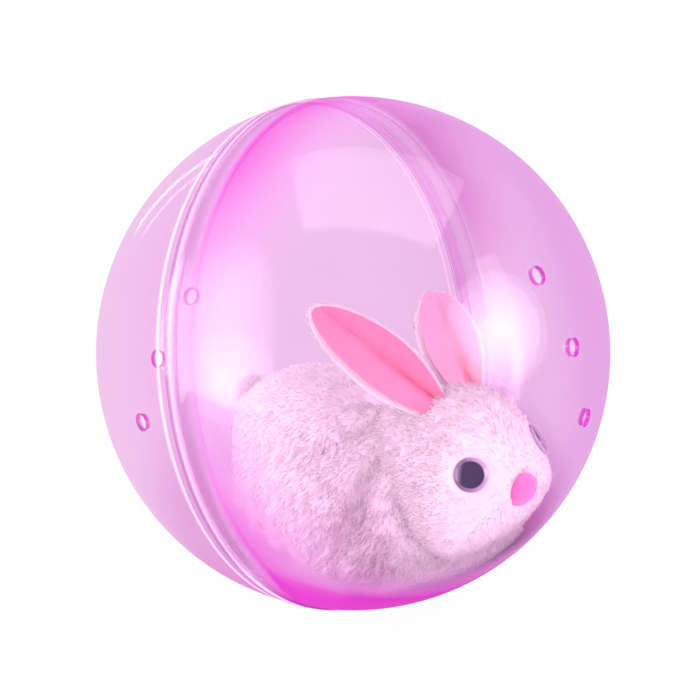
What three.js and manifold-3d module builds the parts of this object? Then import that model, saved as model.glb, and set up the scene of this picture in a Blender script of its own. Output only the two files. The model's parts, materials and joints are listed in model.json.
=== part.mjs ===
// Rolling ball pet toy: a clear ball in two lapped halves, and in it a plush rabbit
// on a small motor cart that climbs the inside of the ball and so rolls it.
// Millimetres, +Z up. The origin is the centre of the ball, +X is the way the
// rabbit faces and +Y is its left. A pair written as [from, to] is a span along an axis.

import * as THREE from 'three';
import { mergeVertices } from 'three/addons/utils/BufferGeometryUtils.js';
import Module from 'manifold-3d';

const wasm = await Module();
wasm.setup();

const degrees = Math.PI / 180;

// Ball
const ballRadius = 62.5;
const ballWall = 2;
const ballAxisRise = 16.5 * degrees;
const ballAxisYaw = 12 * degrees;
const lapLength = 8;
const lapClearance = 0.3;
const tongueThickness = 0.75;
const rimBandWidth = 4;
const rimBandRaise = 0.3;
const ventRadius = 2.1;
const ventSpread = 18 * degrees;
const frontVentLean = 9 * degrees;
const rearVentLean = 55 * degrees;
const ballSegments = 40;
const ballRings = 9;

// Fits
const ballClearance = 0.5;
const seatGap = 0.3;
const pressGap = 0.12;
const runningGap = 0.15;

// Drive wheels and axle
const wheelRadius = 9;
const wheelWidth = 2.7;
const wheelGap = 0.5;
const tyreThickness = 1.6;
const axleRadius = 1;
const axleEndInset = 0.5;

// Rear roller
const rollerRadius = 4;
const rollerBehindCell = 5.5;
const rollerHalfWidth = 2.6;
const forkGap = 0.3;
const forkWall = 1.2;
const forkLength = 5.4;
const forkTip = 1.8;

// Gear train: motor pinion, two compound idlers, axle gear
const gearModule = 0.5;
const pressureAngle = 20 * degrees;
const addendum = 0.85;
const dedendum = 1.1;
const toothBacklash = 0.06;
const motorPinionTeeth = 8;
const firstIdlerBigTeeth = 32;
const idlerSmallTeeth = 10;
const secondIdlerBigTeeth = 30;
const axleGearTeeth = 30;
const pinionShift = 0.53;
const idlerShift = 0.41;
const gearFace = 1.8;
const gearPlaneGap = 0.3;
const pinRadius = 0.75;
const pinSocketDepth = 0.6;
const idlerHubRadius = 1.4;
const trainBow = 1;

// Motor, its shaft behind and above the drive axle
const motorBehindAxle = 24.5;
const motorAboveAxle = 15.76;
const motorRadius = 7.75;
const motorCanLength = 15.3;
const motorCapLength = 1.8;
const motorCanWall = 0.8;
const motorBearingRadius = 2;
const motorBearingLength = 0.5;
const motorSideRoom = 0.9;
const motorShaftSocket = 3;
const axleGearRoomGap = 0.6;
const motorBossRadius = 3;
const motorBossLength = 0.8;
const motorShaftRadius = 0.75;
const motorFlatHalf = 6.2;

// Battery, one cell lying along the cart
const cellRadius = 5.25;
const cellLength = 43.7;
const cellNubRadius = 1.9;
const cellNubLength = 0.8;
const cellMiddleX = -0.15;
const cellSideGap = 0.35;
const cellFloorGap = 0.2;
const cellToAxle = 5.5;
const springWire = 0.5;
const springLength = 3.5;
const springTurns = 3;
const springWide = 3.5;
const springNarrow = 1.7;
const contactThickness = 0.4;
const contactHalfWidth = 4;
const wireRadius = 0.5;

// Chassis
const trayBelowAxle = 5.64;
const trayHeight = 15;
const coverHeight = 15.7;
const trayFloor = 1.4;
const chassisWall = 1.2;
const trayNose = 7;
const frontOverhang = 9.5;
const rearOverhang = 9;
const rearNarrowing = 17;
const shoulderLength = 13.5;
const shoulderBehindMotor = 17.5;
const coverEdgeRadius = 4;
const coverSill = 3;
const plateThickness = 1;
const plateEdgeGap = 0.7;
const cellBoxWall = 1;
const cellBoxHeight = 9.6;
const bossRadius = 1.8;
const bossInset = 0.2;
const bossBeforeShoulder = 4.5;
const screwRadius = 0.8;
const screwHeadRadius = 1.5;
const screwHeadHeight = 0.9;
const screwBite = 3.5;

// Battery door
const doorThickness = 1.1;
const doorSideLap = 0.1;
const doorTabLength = 4.7;
const doorTabHalfWidth = 3.2;
const doorScrewInset = 1.8;
const doorScrewLength = 2.4;

// Slide switch, beside the cell box
const switchBehindShoulder = 4.6;
const switchLength = 7.3;
const switchWidth = 3.1;
const switchHeight = 3.5;
const switchSideGap = 0.6;
const knobInset = 3.2;
const knobWidth = 1.6;
const knobDepth = 1.2;
const knobDrop = 1.5;
const switchTravel = 2;

// Plush body, a loaf over the cart
const plushThickness = 2.2;
const bodySideRoom = 2.5;
const bodyTopRoom = 3.1;
const bodyFrontRoom = 3;
const bodyFrontPadding = 5.5;
const bodyRearRoom = 2.2;
const bodyUnderhang = 5;
const hemLift = 1.7;
const wheelRoom = 0.7;

// Plush head, an egg pressed flat at the muzzle; its middle is counted from the cover's top front
const headBack = 2.5;
const headDrop = 4.7;
const headRoom = 2;
const muzzlePress = 4.56;
const headHalfWidth = 19;
const headHalfHeight = 21;

// Tail, a small round tuft on the body's rear
const tailRadius = 4;
const tailSeat = 0.6;
const tailRise = 10;

// Ears, from root to tip, counted from the middle of the head
const earThickness = 1.3;
const earLiningThickness = 0.5;
const earHalfWidth = 6.6;
const earLiningShare = 0.82;
const earCup = 2.2;
const rightEarRoot = new THREE.Vector3(-1.5, -5, 18.5);
const rightEarTip = new THREE.Vector3(-31.7, -18, 39.7);
const rightEarFacing = new THREE.Vector3(0.5, -0.62, 0.6);
const leftEarRoot = new THREE.Vector3(-2, 5.5, 18);
const leftEarTip = new THREE.Vector3(-27.2, 19, 32.5);
const leftEarFacing = new THREE.Vector3(0.17, -0.45, 0.87);

// Eyes, as shares of the half sizes of the head, and nose
const eyeShare = new THREE.Vector3(0.596, 0.632, 0.495);
const eyeRadius = 4.45;
const eyeHeight = 2.6;
const pupilRadius = 2.95;
const pupilThickness = 0.9;
const pupilGap = 0.1;
const eyeStemRadius = 1.2;
const eyeStemLength = 5;
const washerRadius = 4;
const washerThickness = 1;
const noseRadius = 3.7;
const noseThickness = 1.5;
const noseRise = 3.4;
const noseGap = 0.15;

const middle = ([from, to]) => (from + to) / 2;
const length = ([from, to]) => to - from;

// Widths across the cart, from the cell box out to the wheels
const cellBoxInner = cellRadius + cellSideGap;
const cellBoxOuter = cellBoxInner + cellBoxWall;
const plateY = [cellBoxInner, cellBoxInner + plateThickness];
const gearPlane = (n) => {
  const from = plateY[1] + gearPlaneGap + n * (gearFace + gearPlaneGap);
  return [from, from + gearFace];
};
const [innerPlane, middlePlane, outerPlane] = [0, 1, 2].map(gearPlane);
const motorFace = plateY[0] - seatGap;
const motorCanY = [motorFace - motorCanLength, motorFace];
const motorCapY = [motorCanY[0] - motorCapLength, motorCanY[0]];
const motorSideReach = motorBearingLength - motorCapY[0];
const chassisInner = Math.max(outerPlane[1] + gearPlaneGap, motorSideReach + motorSideRoom);
const chassisHalfWidth = chassisInner + chassisWall;
const wheelInnerFace = chassisHalfWidth + wheelGap;
const wheelOuterFace = wheelInnerFace + wheelWidth;
const axleEnd = wheelOuterFace - axleEndInset;
const shoulderHalfWidth = cellBoxOuter + chassisWall;
const forkInner = rollerHalfWidth + forkGap;
const forkOuter = forkInner + forkWall;
const rearHalfWidth = forkOuter + seatGap;
const pinSpan = [plateY[0] + 0.15, chassisInner + pinSocketDepth - 0.1];

// Lengths along the cart, from the cell out to both ends
const cellRear = cellMiddleX - cellLength / 2;
const cellFront = cellMiddleX + cellLength / 2;
const nubEnd = cellFront + cellNubLength;
const contactX = [nubEnd + seatGap, nubEnd + seatGap + contactThickness];
const frontRibX = [contactX[1] + seatGap, contactX[1] + seatGap + cellBoxWall];
const springX = [cellRear - seatGap - springLength, cellRear - seatGap];
const rearRibX = [springX[0] - seatGap - cellBoxWall, springX[0] - seatGap];
const axleX = nubEnd + cellToAxle;
const motorX = axleX - motorBehindAxle;
const shoulderX = motorX - shoulderBehindMotor;
const chassisFront = axleX + frontOverhang;
const chassisRear = Math.min(cellRear - rearOverhang, shoulderX - rearNarrowing);
const rollerX = cellRear - rollerBehindCell;

// The wheels and the roller run round the ball with ballClearance left, and this sets the cart's height
const reach = ballRadius - ballWall - ballClearance;
const reachAt = (side) => Math.sqrt(reach ** 2 - side ** 2);
const axleDrop = reachAt(wheelInnerFace) - wheelRadius;
const axleZ = -Math.sqrt(axleDrop ** 2 - axleX ** 2);
const rollerDrop = reachAt(rollerHalfWidth) - rollerRadius;
const rollerZ = -Math.sqrt(rollerDrop ** 2 - rollerX ** 2);
const motorZ = axleZ + motorAboveAxle;
const trayBottom = axleZ - trayBelowAxle;
const floorTop = trayBottom + trayFloor;
const splitHeight = trayBottom + trayHeight;
const coverTop = splitHeight + coverHeight;
const cellZ = floorTop + cellFloorGap + cellRadius;
const bossY = chassisInner - bossRadius;
const bossPlaces = [
  [chassisFront - chassisWall - bossRadius - bossInset, bossY],
  [chassisFront - chassisWall - bossRadius - bossInset, -bossY],
  [shoulderX + bossBeforeShoulder, bossY - bossInset],
  [shoulderX + bossBeforeShoulder, bossInset - bossY],
];

const finish = (color, roughness, metalness) => (
  new THREE.MeshStandardMaterial({ color, roughness, metalness })
);
const plastic = (color, roughness = 0.45) => finish(color, roughness, 0);
const metal = (color, roughness = 0.3) => finish(color, roughness, 1);
const clearPlastic = (color, opacity) => new THREE.MeshStandardMaterial({
  color,
  roughness: 0.08,
  metalness: 0,
  transparent: true,
  opacity,
});

const frontShellFinish = clearPlastic(0xe890e2, 0.45);
const rearShellFinish = clearPlastic(0xedbfed, 0.35);
const plushFinish = plastic(0xf4ecf2, 0.95);
const satinFinish = plastic(0xff91c9, 0.6);
const noseFinish = plastic(0xfc8cd1, 0.85);
const eyeClearFinish = clearPlastic(0xd8c0cc, 0.5);
const pupilFinish = plastic(0x241a33, 0.15);
const whitePlastic = plastic(0xf2f0ee);
const pinkPlastic = plastic(0xe58fc4);
const greyPlastic = plastic(0x8c8c90);
const blackPlastic = plastic(0x26262a);
const gearPlastic = plastic(0xf5f2e6, 0.4);
const tyreRubber = plastic(0x3a3a3e, 0.9);
const steel = metal(0xb9bcc0);
const brass = metal(0xc9a55a);
const cellFinish = metal(0x9aa3ad, 0.4);
const redInsulation = plastic(0xc22f35, 0.5);
const blackInsulation = plastic(0x222226, 0.5);

// Shape helpers

function welded(geometry) {
  const bare = new THREE.BufferGeometry();
  bare.setAttribute('position', geometry.getAttribute('position').clone());
  if (geometry.index) bare.setIndex(geometry.index.clone());
  const merged = mergeVertices(bare, 1e-4);
  const index = merged.index.array;
  const corner = [new THREE.Vector3(), new THREE.Vector3(), new THREE.Vector3()];
  const kept = [];
  let volume = 0;
  for (let i = 0; i < index.length; i += 3) {
    const [a, b, c] = [index[i], index[i + 1], index[i + 2]];
    if (a === b || b === c || c === a) continue;
    kept.push(a, b, c);
    corner.forEach((point, k) => point.fromBufferAttribute(merged.attributes.position, index[i + k]));
    volume += corner[0].dot(corner[1].cross(corner[2]));
  }
  if (volume < 0) kept.reverse();
  merged.setIndex(kept);
  return merged;
}

function solid(geometry) {
  const closed = welded(geometry);
  return new wasm.Manifold(new wasm.Mesh({
    numProp: 3,
    vertProperties: new Float32Array(closed.attributes.position.array),
    triVerts: new Uint32Array(closed.index.array),
  }));
}

function geometryOf(manifold) {
  const mesh = manifold.getMesh();
  const geometry = new THREE.BufferGeometry();
  geometry.setAttribute('position', new THREE.Float32BufferAttribute(mesh.vertProperties, 3));
  geometry.setIndex(Array.from(mesh.triVerts));
  return geometry;
}

function finished(shape) {
  const geometry = (shape.isBufferGeometry ? welded(shape) : geometryOf(shape)).toNonIndexed();
  geometry.computeVertexNormals();
  return geometry;
}

function addPiece(parent, name, shape, material) {
  const mesh = new THREE.Mesh(finished(shape), material);
  mesh.name = name;
  parent.add(mesh);
  return mesh;
}

function box(x, y, z) {
  const geometry = new THREE.BoxGeometry(length(x), length(y), length(z));
  return solid(geometry.translate(middle(x), middle(y), middle(z)));
}

function rodY(radius, y, x, z, sides = 16) {
  const geometry = new THREE.CylinderGeometry(radius, radius, length(y), sides);
  return solid(geometry.translate(x, middle(y), z));
}

function rodZ(radius, z, x, y, sides = 12) {
  const geometry = new THREE.CylinderGeometry(radius, radius, length(z), sides).rotateX(Math.PI / 2);
  return solid(geometry.translate(x, y, middle(z)));
}

// A closed outline whose corners are rounded: each corner is [x, y, radius]
function roundedOutline(corners) {
  const outline = new THREE.Shape();
  corners.forEach(([x, y, radius = 0], i) => {
    const corner = new THREE.Vector2(x, y);
    const [before, after] = [corners.at(i - 1), corners[(i + 1) % corners.length]]
      .map(([nx, ny]) => new THREE.Vector2(nx, ny).sub(corner).setLength(radius).add(corner));
    if (i === 0) outline.moveTo(before.x, before.y);
    else outline.lineTo(before.x, before.y);
    if (radius > 0) outline.quadraticCurveTo(x, y, after.x, after.y);
  });
  outline.closePath();
  return outline;
}

const extruded = (outline, depth) => new THREE.ExtrudeGeometry(outline, {
  depth,
  bevelEnabled: false,
  curveSegments: 3,
});

// Slabs drawn in side view (x, z), in plan (x, y) and in end view (y, z)
const sideSlab = (outline, y) => solid(
  extruded(outline, length(y)).rotateX(Math.PI / 2).translate(0, y[1], 0),
);
const planSlab = (outline, z) => solid(extruded(outline, length(z)).translate(0, 0, z[0]));
const endSlab = (outline, x) => solid(
  extruded(outline, length(x)).rotateX(Math.PI / 2).rotateZ(Math.PI / 2).translate(x[0], 0, 0),
);

// A skin over closed rings of points, with a point to close each end
function skin(start, rings, end) {
  const around = rings[0].length;
  const points = [start, ...rings.flat(), end];
  const index = [];
  const at = (ring, k) => 1 + ring * around + (k % around);
  for (let k = 0; k < around; k += 1) {
    index.push(0, at(0, k + 1), at(0, k));
    for (let ring = 0; ring + 1 < rings.length; ring += 1) {
      index.push(at(ring, k), at(ring, k + 1), at(ring + 1, k));
      index.push(at(ring, k + 1), at(ring + 1, k + 1), at(ring + 1, k));
    }
    index.push(points.length - 1, at(rings.length - 1, k), at(rings.length - 1, k + 1));
  }
  const geometry = new THREE.BufferGeometry().setFromPoints(points);
  geometry.setIndex(index);
  return geometry;
}

const signedPower = (value, power) => Math.sign(value) * Math.abs(value) ** power;
const superRound = (t, power) => Math.max(0, 1 - Math.abs(t) ** power) ** (1 / power);
const insideSphere = (point, radius) => (point.length() > radius ? point.setLength(radius) : point);

function sphereArc(radius, fromHeight, toHeight, steps) {
  const from = Math.asin(fromHeight / radius);
  const to = Math.asin(toHeight / radius);
  return Array.from({ length: steps + 1 }, (_, i) => {
    const angle = from + ((to - from) * i) / steps;
    const outFromAxis = radius * Math.cos(angle);
    return new THREE.Vector2(outFromAxis < 1e-6 ? 0 : outFromAxis, radius * Math.sin(angle));
  });
}

// Ball halves: each is revolved about the ball's axis, +X here, with a row of three vents at its pole

const innerRadius = ballRadius - ballWall;
const tongueOuter = innerRadius + tongueThickness;
const lipInner = tongueOuter + lapClearance;

function drilled(shell, lean, facing) {
  let half = shell;
  [-1, 0, 1].forEach((place) => {
    const drill = new THREE.CylinderGeometry(ventRadius, ventRadius, 4 * ballWall, 12);
    drill.translate(0, ballRadius, 0).rotateZ(-Math.PI / 2);
    drill.rotateY(place * ventSpread).rotateX(lean);
    half = half.subtract(solid(facing < 0 ? drill.rotateY(Math.PI) : drill));
  });
  return half;
}

// The front half laps over the rear half's tongue, down to lapLength behind the ball's middle
function frontShell() {
  const bandRadius = ballRadius + rimBandRaise;
  const profile = [
    ...sphereArc(innerRadius, innerRadius, 0, ballRings),
    new THREE.Vector2(lipInner, 0),
    new THREE.Vector2(lipInner, -lapLength),
    ...sphereArc(bandRadius, -lapLength, rimBandWidth - lapLength, 1),
    ...sphereArc(ballRadius, rimBandWidth - lapLength, ballRadius, ballRings),
  ];
  const shell = new THREE.LatheGeometry(profile, ballSegments).rotateZ(-Math.PI / 2);
  return drilled(solid(shell), frontVentLean, 1);
}

function rearShell() {
  const shoulder = lapLength + lapClearance;
  const profile = [
    ...sphereArc(innerRadius, innerRadius, lapClearance, ballRings),
    new THREE.Vector2(tongueOuter, lapClearance),
    new THREE.Vector2(tongueOuter, shoulder),
    ...sphereArc(ballRadius, shoulder, ballRadius, ballRings),
  ];
  const shell = new THREE.LatheGeometry(profile, ballSegments).rotateZ(Math.PI / 2);
  return drilled(solid(shell), rearVentLean, -1);
}

// Wheels, with treads that taper to follow the ball

const treadOuterRadius = reachAt(wheelOuterFace) - axleDrop;
const hubRadius = treadOuterRadius - tyreThickness;
const pinHole = pinRadius + runningGap;
const axleHole = axleRadius + runningGap;

// Wheels are revolved about Y with their outer face towards +Y
function tyre() {
  const half = wheelWidth / 2;
  const bore = hubRadius + pressGap;
  const profile = [
    [bore, -half],
    [wheelRadius - 0.4, -half],
    [wheelRadius, -half + 0.4],
    [treadOuterRadius, half - 0.3],
    [treadOuterRadius - 0.3, half],
    [bore, half],
    [bore, -half],
  ].map(([r, y]) => new THREE.Vector2(r, y));
  return new THREE.LatheGeometry(profile, 24);
}

function wheelHub() {
  const half = wheelWidth / 2;
  const bore = axleRadius + pressGap;
  const dish = half - 0.9;
  const profile = [
    [bore, -half],
    [2.4, -half],
    [3, -dish],
    [hubRadius - 1.2, -dish],
    [hubRadius, -half],
    [hubRadius, half],
    [hubRadius - 1.1, half],
    [hubRadius - 1.6, dish],
    [2.8, dish],
    [2.2, half],
    [bore, half],
    [bore, -half],
  ].map(([r, y]) => new THREE.Vector2(r, y));
  return new THREE.LatheGeometry(profile, 20);
}

// Gears: involute teeth drawn in side view; a tooth's half angle is taken at each radius

const involute = (angle) => Math.tan(angle) - angle;

function gearOutline(teeth, shift, toothAt) {
  const pitch = (gearModule * teeth) / 2;
  const base = pitch * Math.cos(pressureAngle);
  const root = pitch + gearModule * (shift - dedendum);
  const tip = pitch + gearModule * (shift + addendum);
  const thickness = gearModule * (Math.PI / 2 + 2 * shift * Math.tan(pressureAngle)) - toothBacklash;
  const halfAngle = (radius) => thickness / (2 * pitch) + involute(pressureAngle)
    - involute(Math.acos(Math.min(1, base / radius)));
  const radii = teeth > 12 ? [root, pitch, tip] : [root, Math.max(root, base), (base + tip) / 2, tip];
  const outline = new THREE.Shape();
  for (let tooth = 0; tooth < teeth; tooth += 1) {
    const centre = toothAt + (tooth * 2 * Math.PI) / teeth;
    const flank = radii.map((radius) => [radius, halfAngle(radius)]);
    const points = [
      ...flank.map(([radius, half]) => [radius, centre - half]),
      ...flank.toReversed().map(([radius, half]) => [radius, centre + half]),
    ];
    points.forEach(([radius, angle], i) => {
      const [x, z] = [radius * Math.cos(angle), radius * Math.sin(angle)];
      if (tooth === 0 && i === 0) outline.moveTo(x, z);
      else outline.lineTo(x, z);
    });
  }
  outline.closePath();
  return outline;
}

const centreDistance = (teethA, teethB) => (gearModule * (teethA + teethB)) / 2;
const axleMeshDistance = centreDistance(idlerSmallTeeth, axleGearTeeth);
const idlerMeshDistance = centreDistance(idlerSmallTeeth, secondIdlerBigTeeth);
const motorMeshDistance = centreDistance(motorPinionTeeth, firstIdlerBigTeeth);

// The two idlers stand on a bowed line from the drive axle up to the motor shaft: the
// middle link lies along that line, and the end links turn to meet it
const axlePoint = new THREE.Vector2(axleX, axleZ);
const motorPoint = new THREE.Vector2(motorX, motorZ);
const trainSpan = motorPoint.clone().sub(axlePoint);
const endLinks = trainSpan.length() - idlerMeshDistance;
const axleAlong = (endLinks ** 2 + axleMeshDistance ** 2 - motorMeshDistance ** 2) / (2 * endLinks);
const bow = trainBow * Math.sqrt(axleMeshDistance ** 2 - axleAlong ** 2);
const along = trainSpan.clone().normalize();
const across = new THREE.Vector2(along.y, -along.x);
const secondIdlerPoint = axlePoint.clone().addScaledVector(along, axleAlong).addScaledVector(across, bow);
const firstIdlerPoint = secondIdlerPoint.clone().addScaledVector(along, idlerMeshDistance);

const headingOf = (from, to) => Math.atan2(to.y - from.y, to.x - from.x);
const gapFacing = (heading, teeth) => heading + Math.PI + Math.PI / teeth;
const motorHeading = headingOf(motorPoint, firstIdlerPoint);
const idlerHeading = headingOf(firstIdlerPoint, secondIdlerPoint);
const axleHeading = headingOf(secondIdlerPoint, axlePoint);

function gear(teeth, shift, toothAt, y) {
  return sideSlab(gearOutline(teeth, shift, toothAt), y);
}

function firstIdler() {
  const big = gear(firstIdlerBigTeeth, -pinionShift, gapFacing(motorHeading, firstIdlerBigTeeth), outerPlane);
  const small = gear(idlerSmallTeeth, idlerShift, idlerHeading, [innerPlane[0], outerPlane[0] + 0.2]);
  return big.add(small).subtract(rodY(pinHole, [0, chassisInner], 0, 0, 12));
}

function secondIdler() {
  const bigTeethAt = gapFacing(idlerHeading, secondIdlerBigTeeth);
  const big = gear(secondIdlerBigTeeth, -idlerShift, bigTeethAt, middlePlane);
  const small = gear(idlerSmallTeeth, idlerShift, axleHeading, [innerPlane[0], middlePlane[0] + 0.2]);
  const hub = rodY(idlerHubRadius, [middlePlane[1] - 0.2, outerPlane[1]], 0, 0, 12);
  return big.add(small).add(hub).subtract(rodY(pinHole, [0, chassisInner], 0, 0, 12));
}

function axleGear() {
  const wheel = gear(axleGearTeeth, -idlerShift, gapFacing(axleHeading, axleGearTeeth), innerPlane);
  return wheel.subtract(rodY(axleRadius + pressGap, [0, chassisInner], 0, 0));
}

function motorPinion() {
  const wheel = gear(motorPinionTeeth, pinionShift, motorHeading, outerPlane);
  return wheel.subtract(rodY(motorShaftRadius + pressGap, [0, chassisInner], 0, 0, 12));
}

// Motor: its shaft runs along Y through the gearbox plate

const acrossMotor = [-chassisInner, chassisInner];
const acrossChassis = [-chassisHalfWidth - 1, chassisHalfWidth + 1];
const axleGearRoom = (gearModule * axleGearTeeth) / 2 + axleGearRoomGap;

function flatSided(shape) {
  const height = [motorZ - motorFlatHalf, motorZ + motorFlatHalf];
  return shape.intersect(box([motorX - 2 * motorRadius, motorX + 2 * motorRadius], acrossMotor, height));
}

function motorCan() {
  const can = rodY(motorRadius, motorCanY, motorX, motorZ, 24);
  const boss = rodY(motorBossRadius, [motorFace - 0.5, motorFace + motorBossLength], motorX, motorZ, 20);
  const socketY = [motorFace - motorShaftSocket, chassisInner];
  const socket = rodY(motorShaftRadius + runningGap, socketY, motorX, motorZ, 12);
  const capSeatY = [motorCanY[0] - 1, motorCanY[0] + 1.3];
  const capSeat = rodY(motorRadius - motorCanWall, capSeatY, motorX, motorZ, 24);
  return flatSided(can).add(boss).subtract(socket).subtract(flatSided(capSeat));
}

function motorEndCap() {
  const rim = rodY(motorRadius, [motorCapY[0], motorCapY[1] - pressGap], motorX, motorZ, 24);
  const plugRadius = motorRadius - motorCanWall - pressGap;
  const plug = rodY(plugRadius, [motorCapY[0], motorCanY[0] + 1], motorX, motorZ, 24);
  const bearingY = [motorCapY[0] - motorBearingLength, motorCapY[0] + 0.5];
  const bearing = rodY(motorBearingRadius, bearingY, motorX, motorZ, 12);
  const plugHeight = [motorZ - motorFlatHalf + pressGap, motorZ + motorFlatHalf - pressGap];
  const plugRoom = [motorX - 2 * motorRadius, motorX + 2 * motorRadius];
  const trimmedPlug = plug.intersect(box(plugRoom, acrossMotor, plugHeight));
  return flatSided(rim).add(trimmedPlug).add(bearing);
}

// Battery cell and its contacts, lying along X

function batteryCell() {
  const profile = [
    [0, 0],
    [cellRadius - 0.6, 0],
    [cellRadius, 0.6],
    [cellRadius, cellLength - 0.6],
    [cellRadius - 0.6, cellLength],
    [cellNubRadius, cellLength],
    [cellNubRadius, cellLength + cellNubLength],
    [0, cellLength + cellNubLength],
  ].map(([r, y]) => new THREE.Vector2(r, y));
  return new THREE.LatheGeometry(profile, 20).rotateZ(-Math.PI / 2);
}

// A cone of spring wire: one unbroken tube of springTurns curls
function coilPoint(t) {
  const angle = t * springTurns * 2 * Math.PI;
  const radius = springWide - springWire / 2 + (springNarrow - springWide) * t;
  const run = springLength - springWire;
  return new THREE.Vector3(springWire / 2 + run * t, radius * Math.cos(angle), radius * Math.sin(angle));
}

function batterySpring() {
  const steps = springTurns * 8;
  const rings = [];
  for (let i = 0; i <= steps; i += 1) {
    const t = i / steps;
    const centre = coilPoint(t);
    const outward = new THREE.Vector3(0, centre.y, centre.z).normalize();
    const alongX = new THREE.Vector3(1, 0, 0);
    rings.push(Array.from({ length: 5 }, (_, k) => {
      const angle = (k * 2 * Math.PI) / 5;
      return centre.clone()
        .addScaledVector(outward, (springWire / 2) * Math.cos(angle))
        .addScaledVector(alongX, (springWire / 2) * Math.sin(angle));
    }));
  }
  return skin(coilPoint(0), rings, coilPoint(1));
}

function springLeastGap() {
  let least = Infinity;
  const perTurn = 24;
  for (let i = 0; i + perTurn / 2 < springTurns * perTurn; i += 1) {
    for (let j = i + perTurn / 2; j <= springTurns * perTurn; j += 1) {
      const apart = coilPoint(i / (springTurns * perTurn)).distanceTo(coilPoint(j / (springTurns * perTurn)));
      least = Math.min(least, apart - springWire);
    }
  }
  return least;
}

// Chassis tray and cover share one plan; the tray holds the cell, and the cover the gears and motor

const planOutline = (inset) => roundedOutline([
  [chassisFront - inset, -chassisHalfWidth + inset, 4],
  [chassisFront - inset, chassisHalfWidth - inset, 4],
  [shoulderX + inset / 2, chassisHalfWidth - inset, 3],
  [shoulderX - shoulderLength + inset / 2, shoulderHalfWidth - inset, 2],
  [chassisRear + inset, rearHalfWidth - inset / 2, 1],
  [chassisRear + inset, -rearHalfWidth + inset / 2, 1],
  [shoulderX - shoulderLength + inset / 2, -shoulderHalfWidth + inset, 2],
  [shoulderX + inset / 2, -chassisHalfWidth + inset, 3],
]);

const trayTop = splitHeight;
const trayOutline = (inset, bottom, top) => roundedOutline([
  [chassisRear - 1, bottom],
  [chassisFront - trayNose - inset / 2, bottom, 1],
  [chassisFront - inset, trayBottom + trayNose + inset / 2, 1],
  [chassisFront - inset, top],
  [chassisRear - 1, top],
]);
const coverBottom = splitHeight + seatGap;
const fullWidth = [-chassisHalfWidth, chassisHalfWidth];
const coverOutline = (inset, bottom) => roundedOutline([
  [chassisRear + inset, bottom],
  [chassisFront - inset, bottom],
  [chassisFront - inset, splitHeight + coverSill, 2],
  [axleX + 2 - inset / 2, coverTop - 3.3 - inset, 3],
  [axleX - 8 - inset / 2, coverTop - inset, 3],
  [shoulderX + 4 + inset / 2, coverTop - inset, coverEdgeRadius],
  [chassisRear + inset, splitHeight + coverSill - inset / 2, 2],
]);
const endOutline = (inset) => roundedOutline([
  [-chassisHalfWidth + inset, trayBottom - 1],
  [chassisHalfWidth - inset, trayBottom - 1],
  [chassisHalfWidth - inset, coverTop - inset, coverEdgeRadius],
  [-chassisHalfWidth + inset, coverTop - inset, coverEdgeRadius],
]);

const doorRear = cellRear - 0.6;
const doorFront = nubEnd + 0.3;
const doorTabEnd = doorFront + doorTabLength;
const doorScrewX = doorTabEnd - doorScrewInset;
const doorHalfWidth = cellBoxInner + doorSideLap;
const doorZ = [trayBottom, trayBottom + doorThickness];
const doorOutline = (growth) => roundedOutline([
  [doorRear - growth, -doorHalfWidth - growth, 1],
  [doorFront + growth, -doorHalfWidth - growth, 1],
  [doorFront + growth, -doorTabHalfWidth - growth],
  [doorTabEnd + growth, -doorTabHalfWidth - growth, 1],
  [doorTabEnd + growth, doorTabHalfWidth + growth, 1],
  [doorFront + growth, doorTabHalfWidth + growth],
  [doorFront + growth, doorHalfWidth + growth, 1],
  [doorRear - growth, doorHalfWidth + growth, 1],
]);

const switchX = [shoulderX - switchBehindShoulder, shoulderX - switchBehindShoulder + switchLength];
const switchY = [-cellBoxOuter - switchSideGap - switchWidth, -cellBoxOuter - switchSideGap];
const knobX = [switchX[0] + knobInset, switchX[0] + knobInset + knobWidth];
const knobY = [middle(switchY) - knobDepth / 2, middle(switchY) + knobDepth / 2];
const slotX = [knobX[0] - seatGap, knobX[1] + switchTravel + seatGap];
const slotY = [knobY[0] - seatGap, knobY[1] + seatGap];
const switchBottom = floorTop + seatGap;
const motorCradle = motorRadius + seatGap;
const cradleX = [motorX - motorRadius - 0.6, motorX + motorRadius + 0.6];
const cradleY = [motorCanY[0] + 0.6, motorCanY[0] + 1.8];
const plateNotchX = motorX + 6.5;

function rollerFork() {
  const lug = roundedOutline([
    [rollerX - forkLength / 2, floorTop - 0.2],
    [rollerX - forkLength / 2 + 1, rollerZ - forkTip, 1.5],
    [rollerX + forkLength / 2 - 1, rollerZ - forkTip, 1.5],
    [rollerX + forkLength / 2, floorTop - 0.2],
  ]);
  const pair = sideSlab(lug, [forkInner, forkOuter]).add(sideSlab(lug, [-forkOuter, -forkInner]));
  return pair.subtract(rodY(pinRadius + pressGap, [-forkOuter - 1, forkOuter + 1], rollerX, rollerZ, 12));
}

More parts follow.
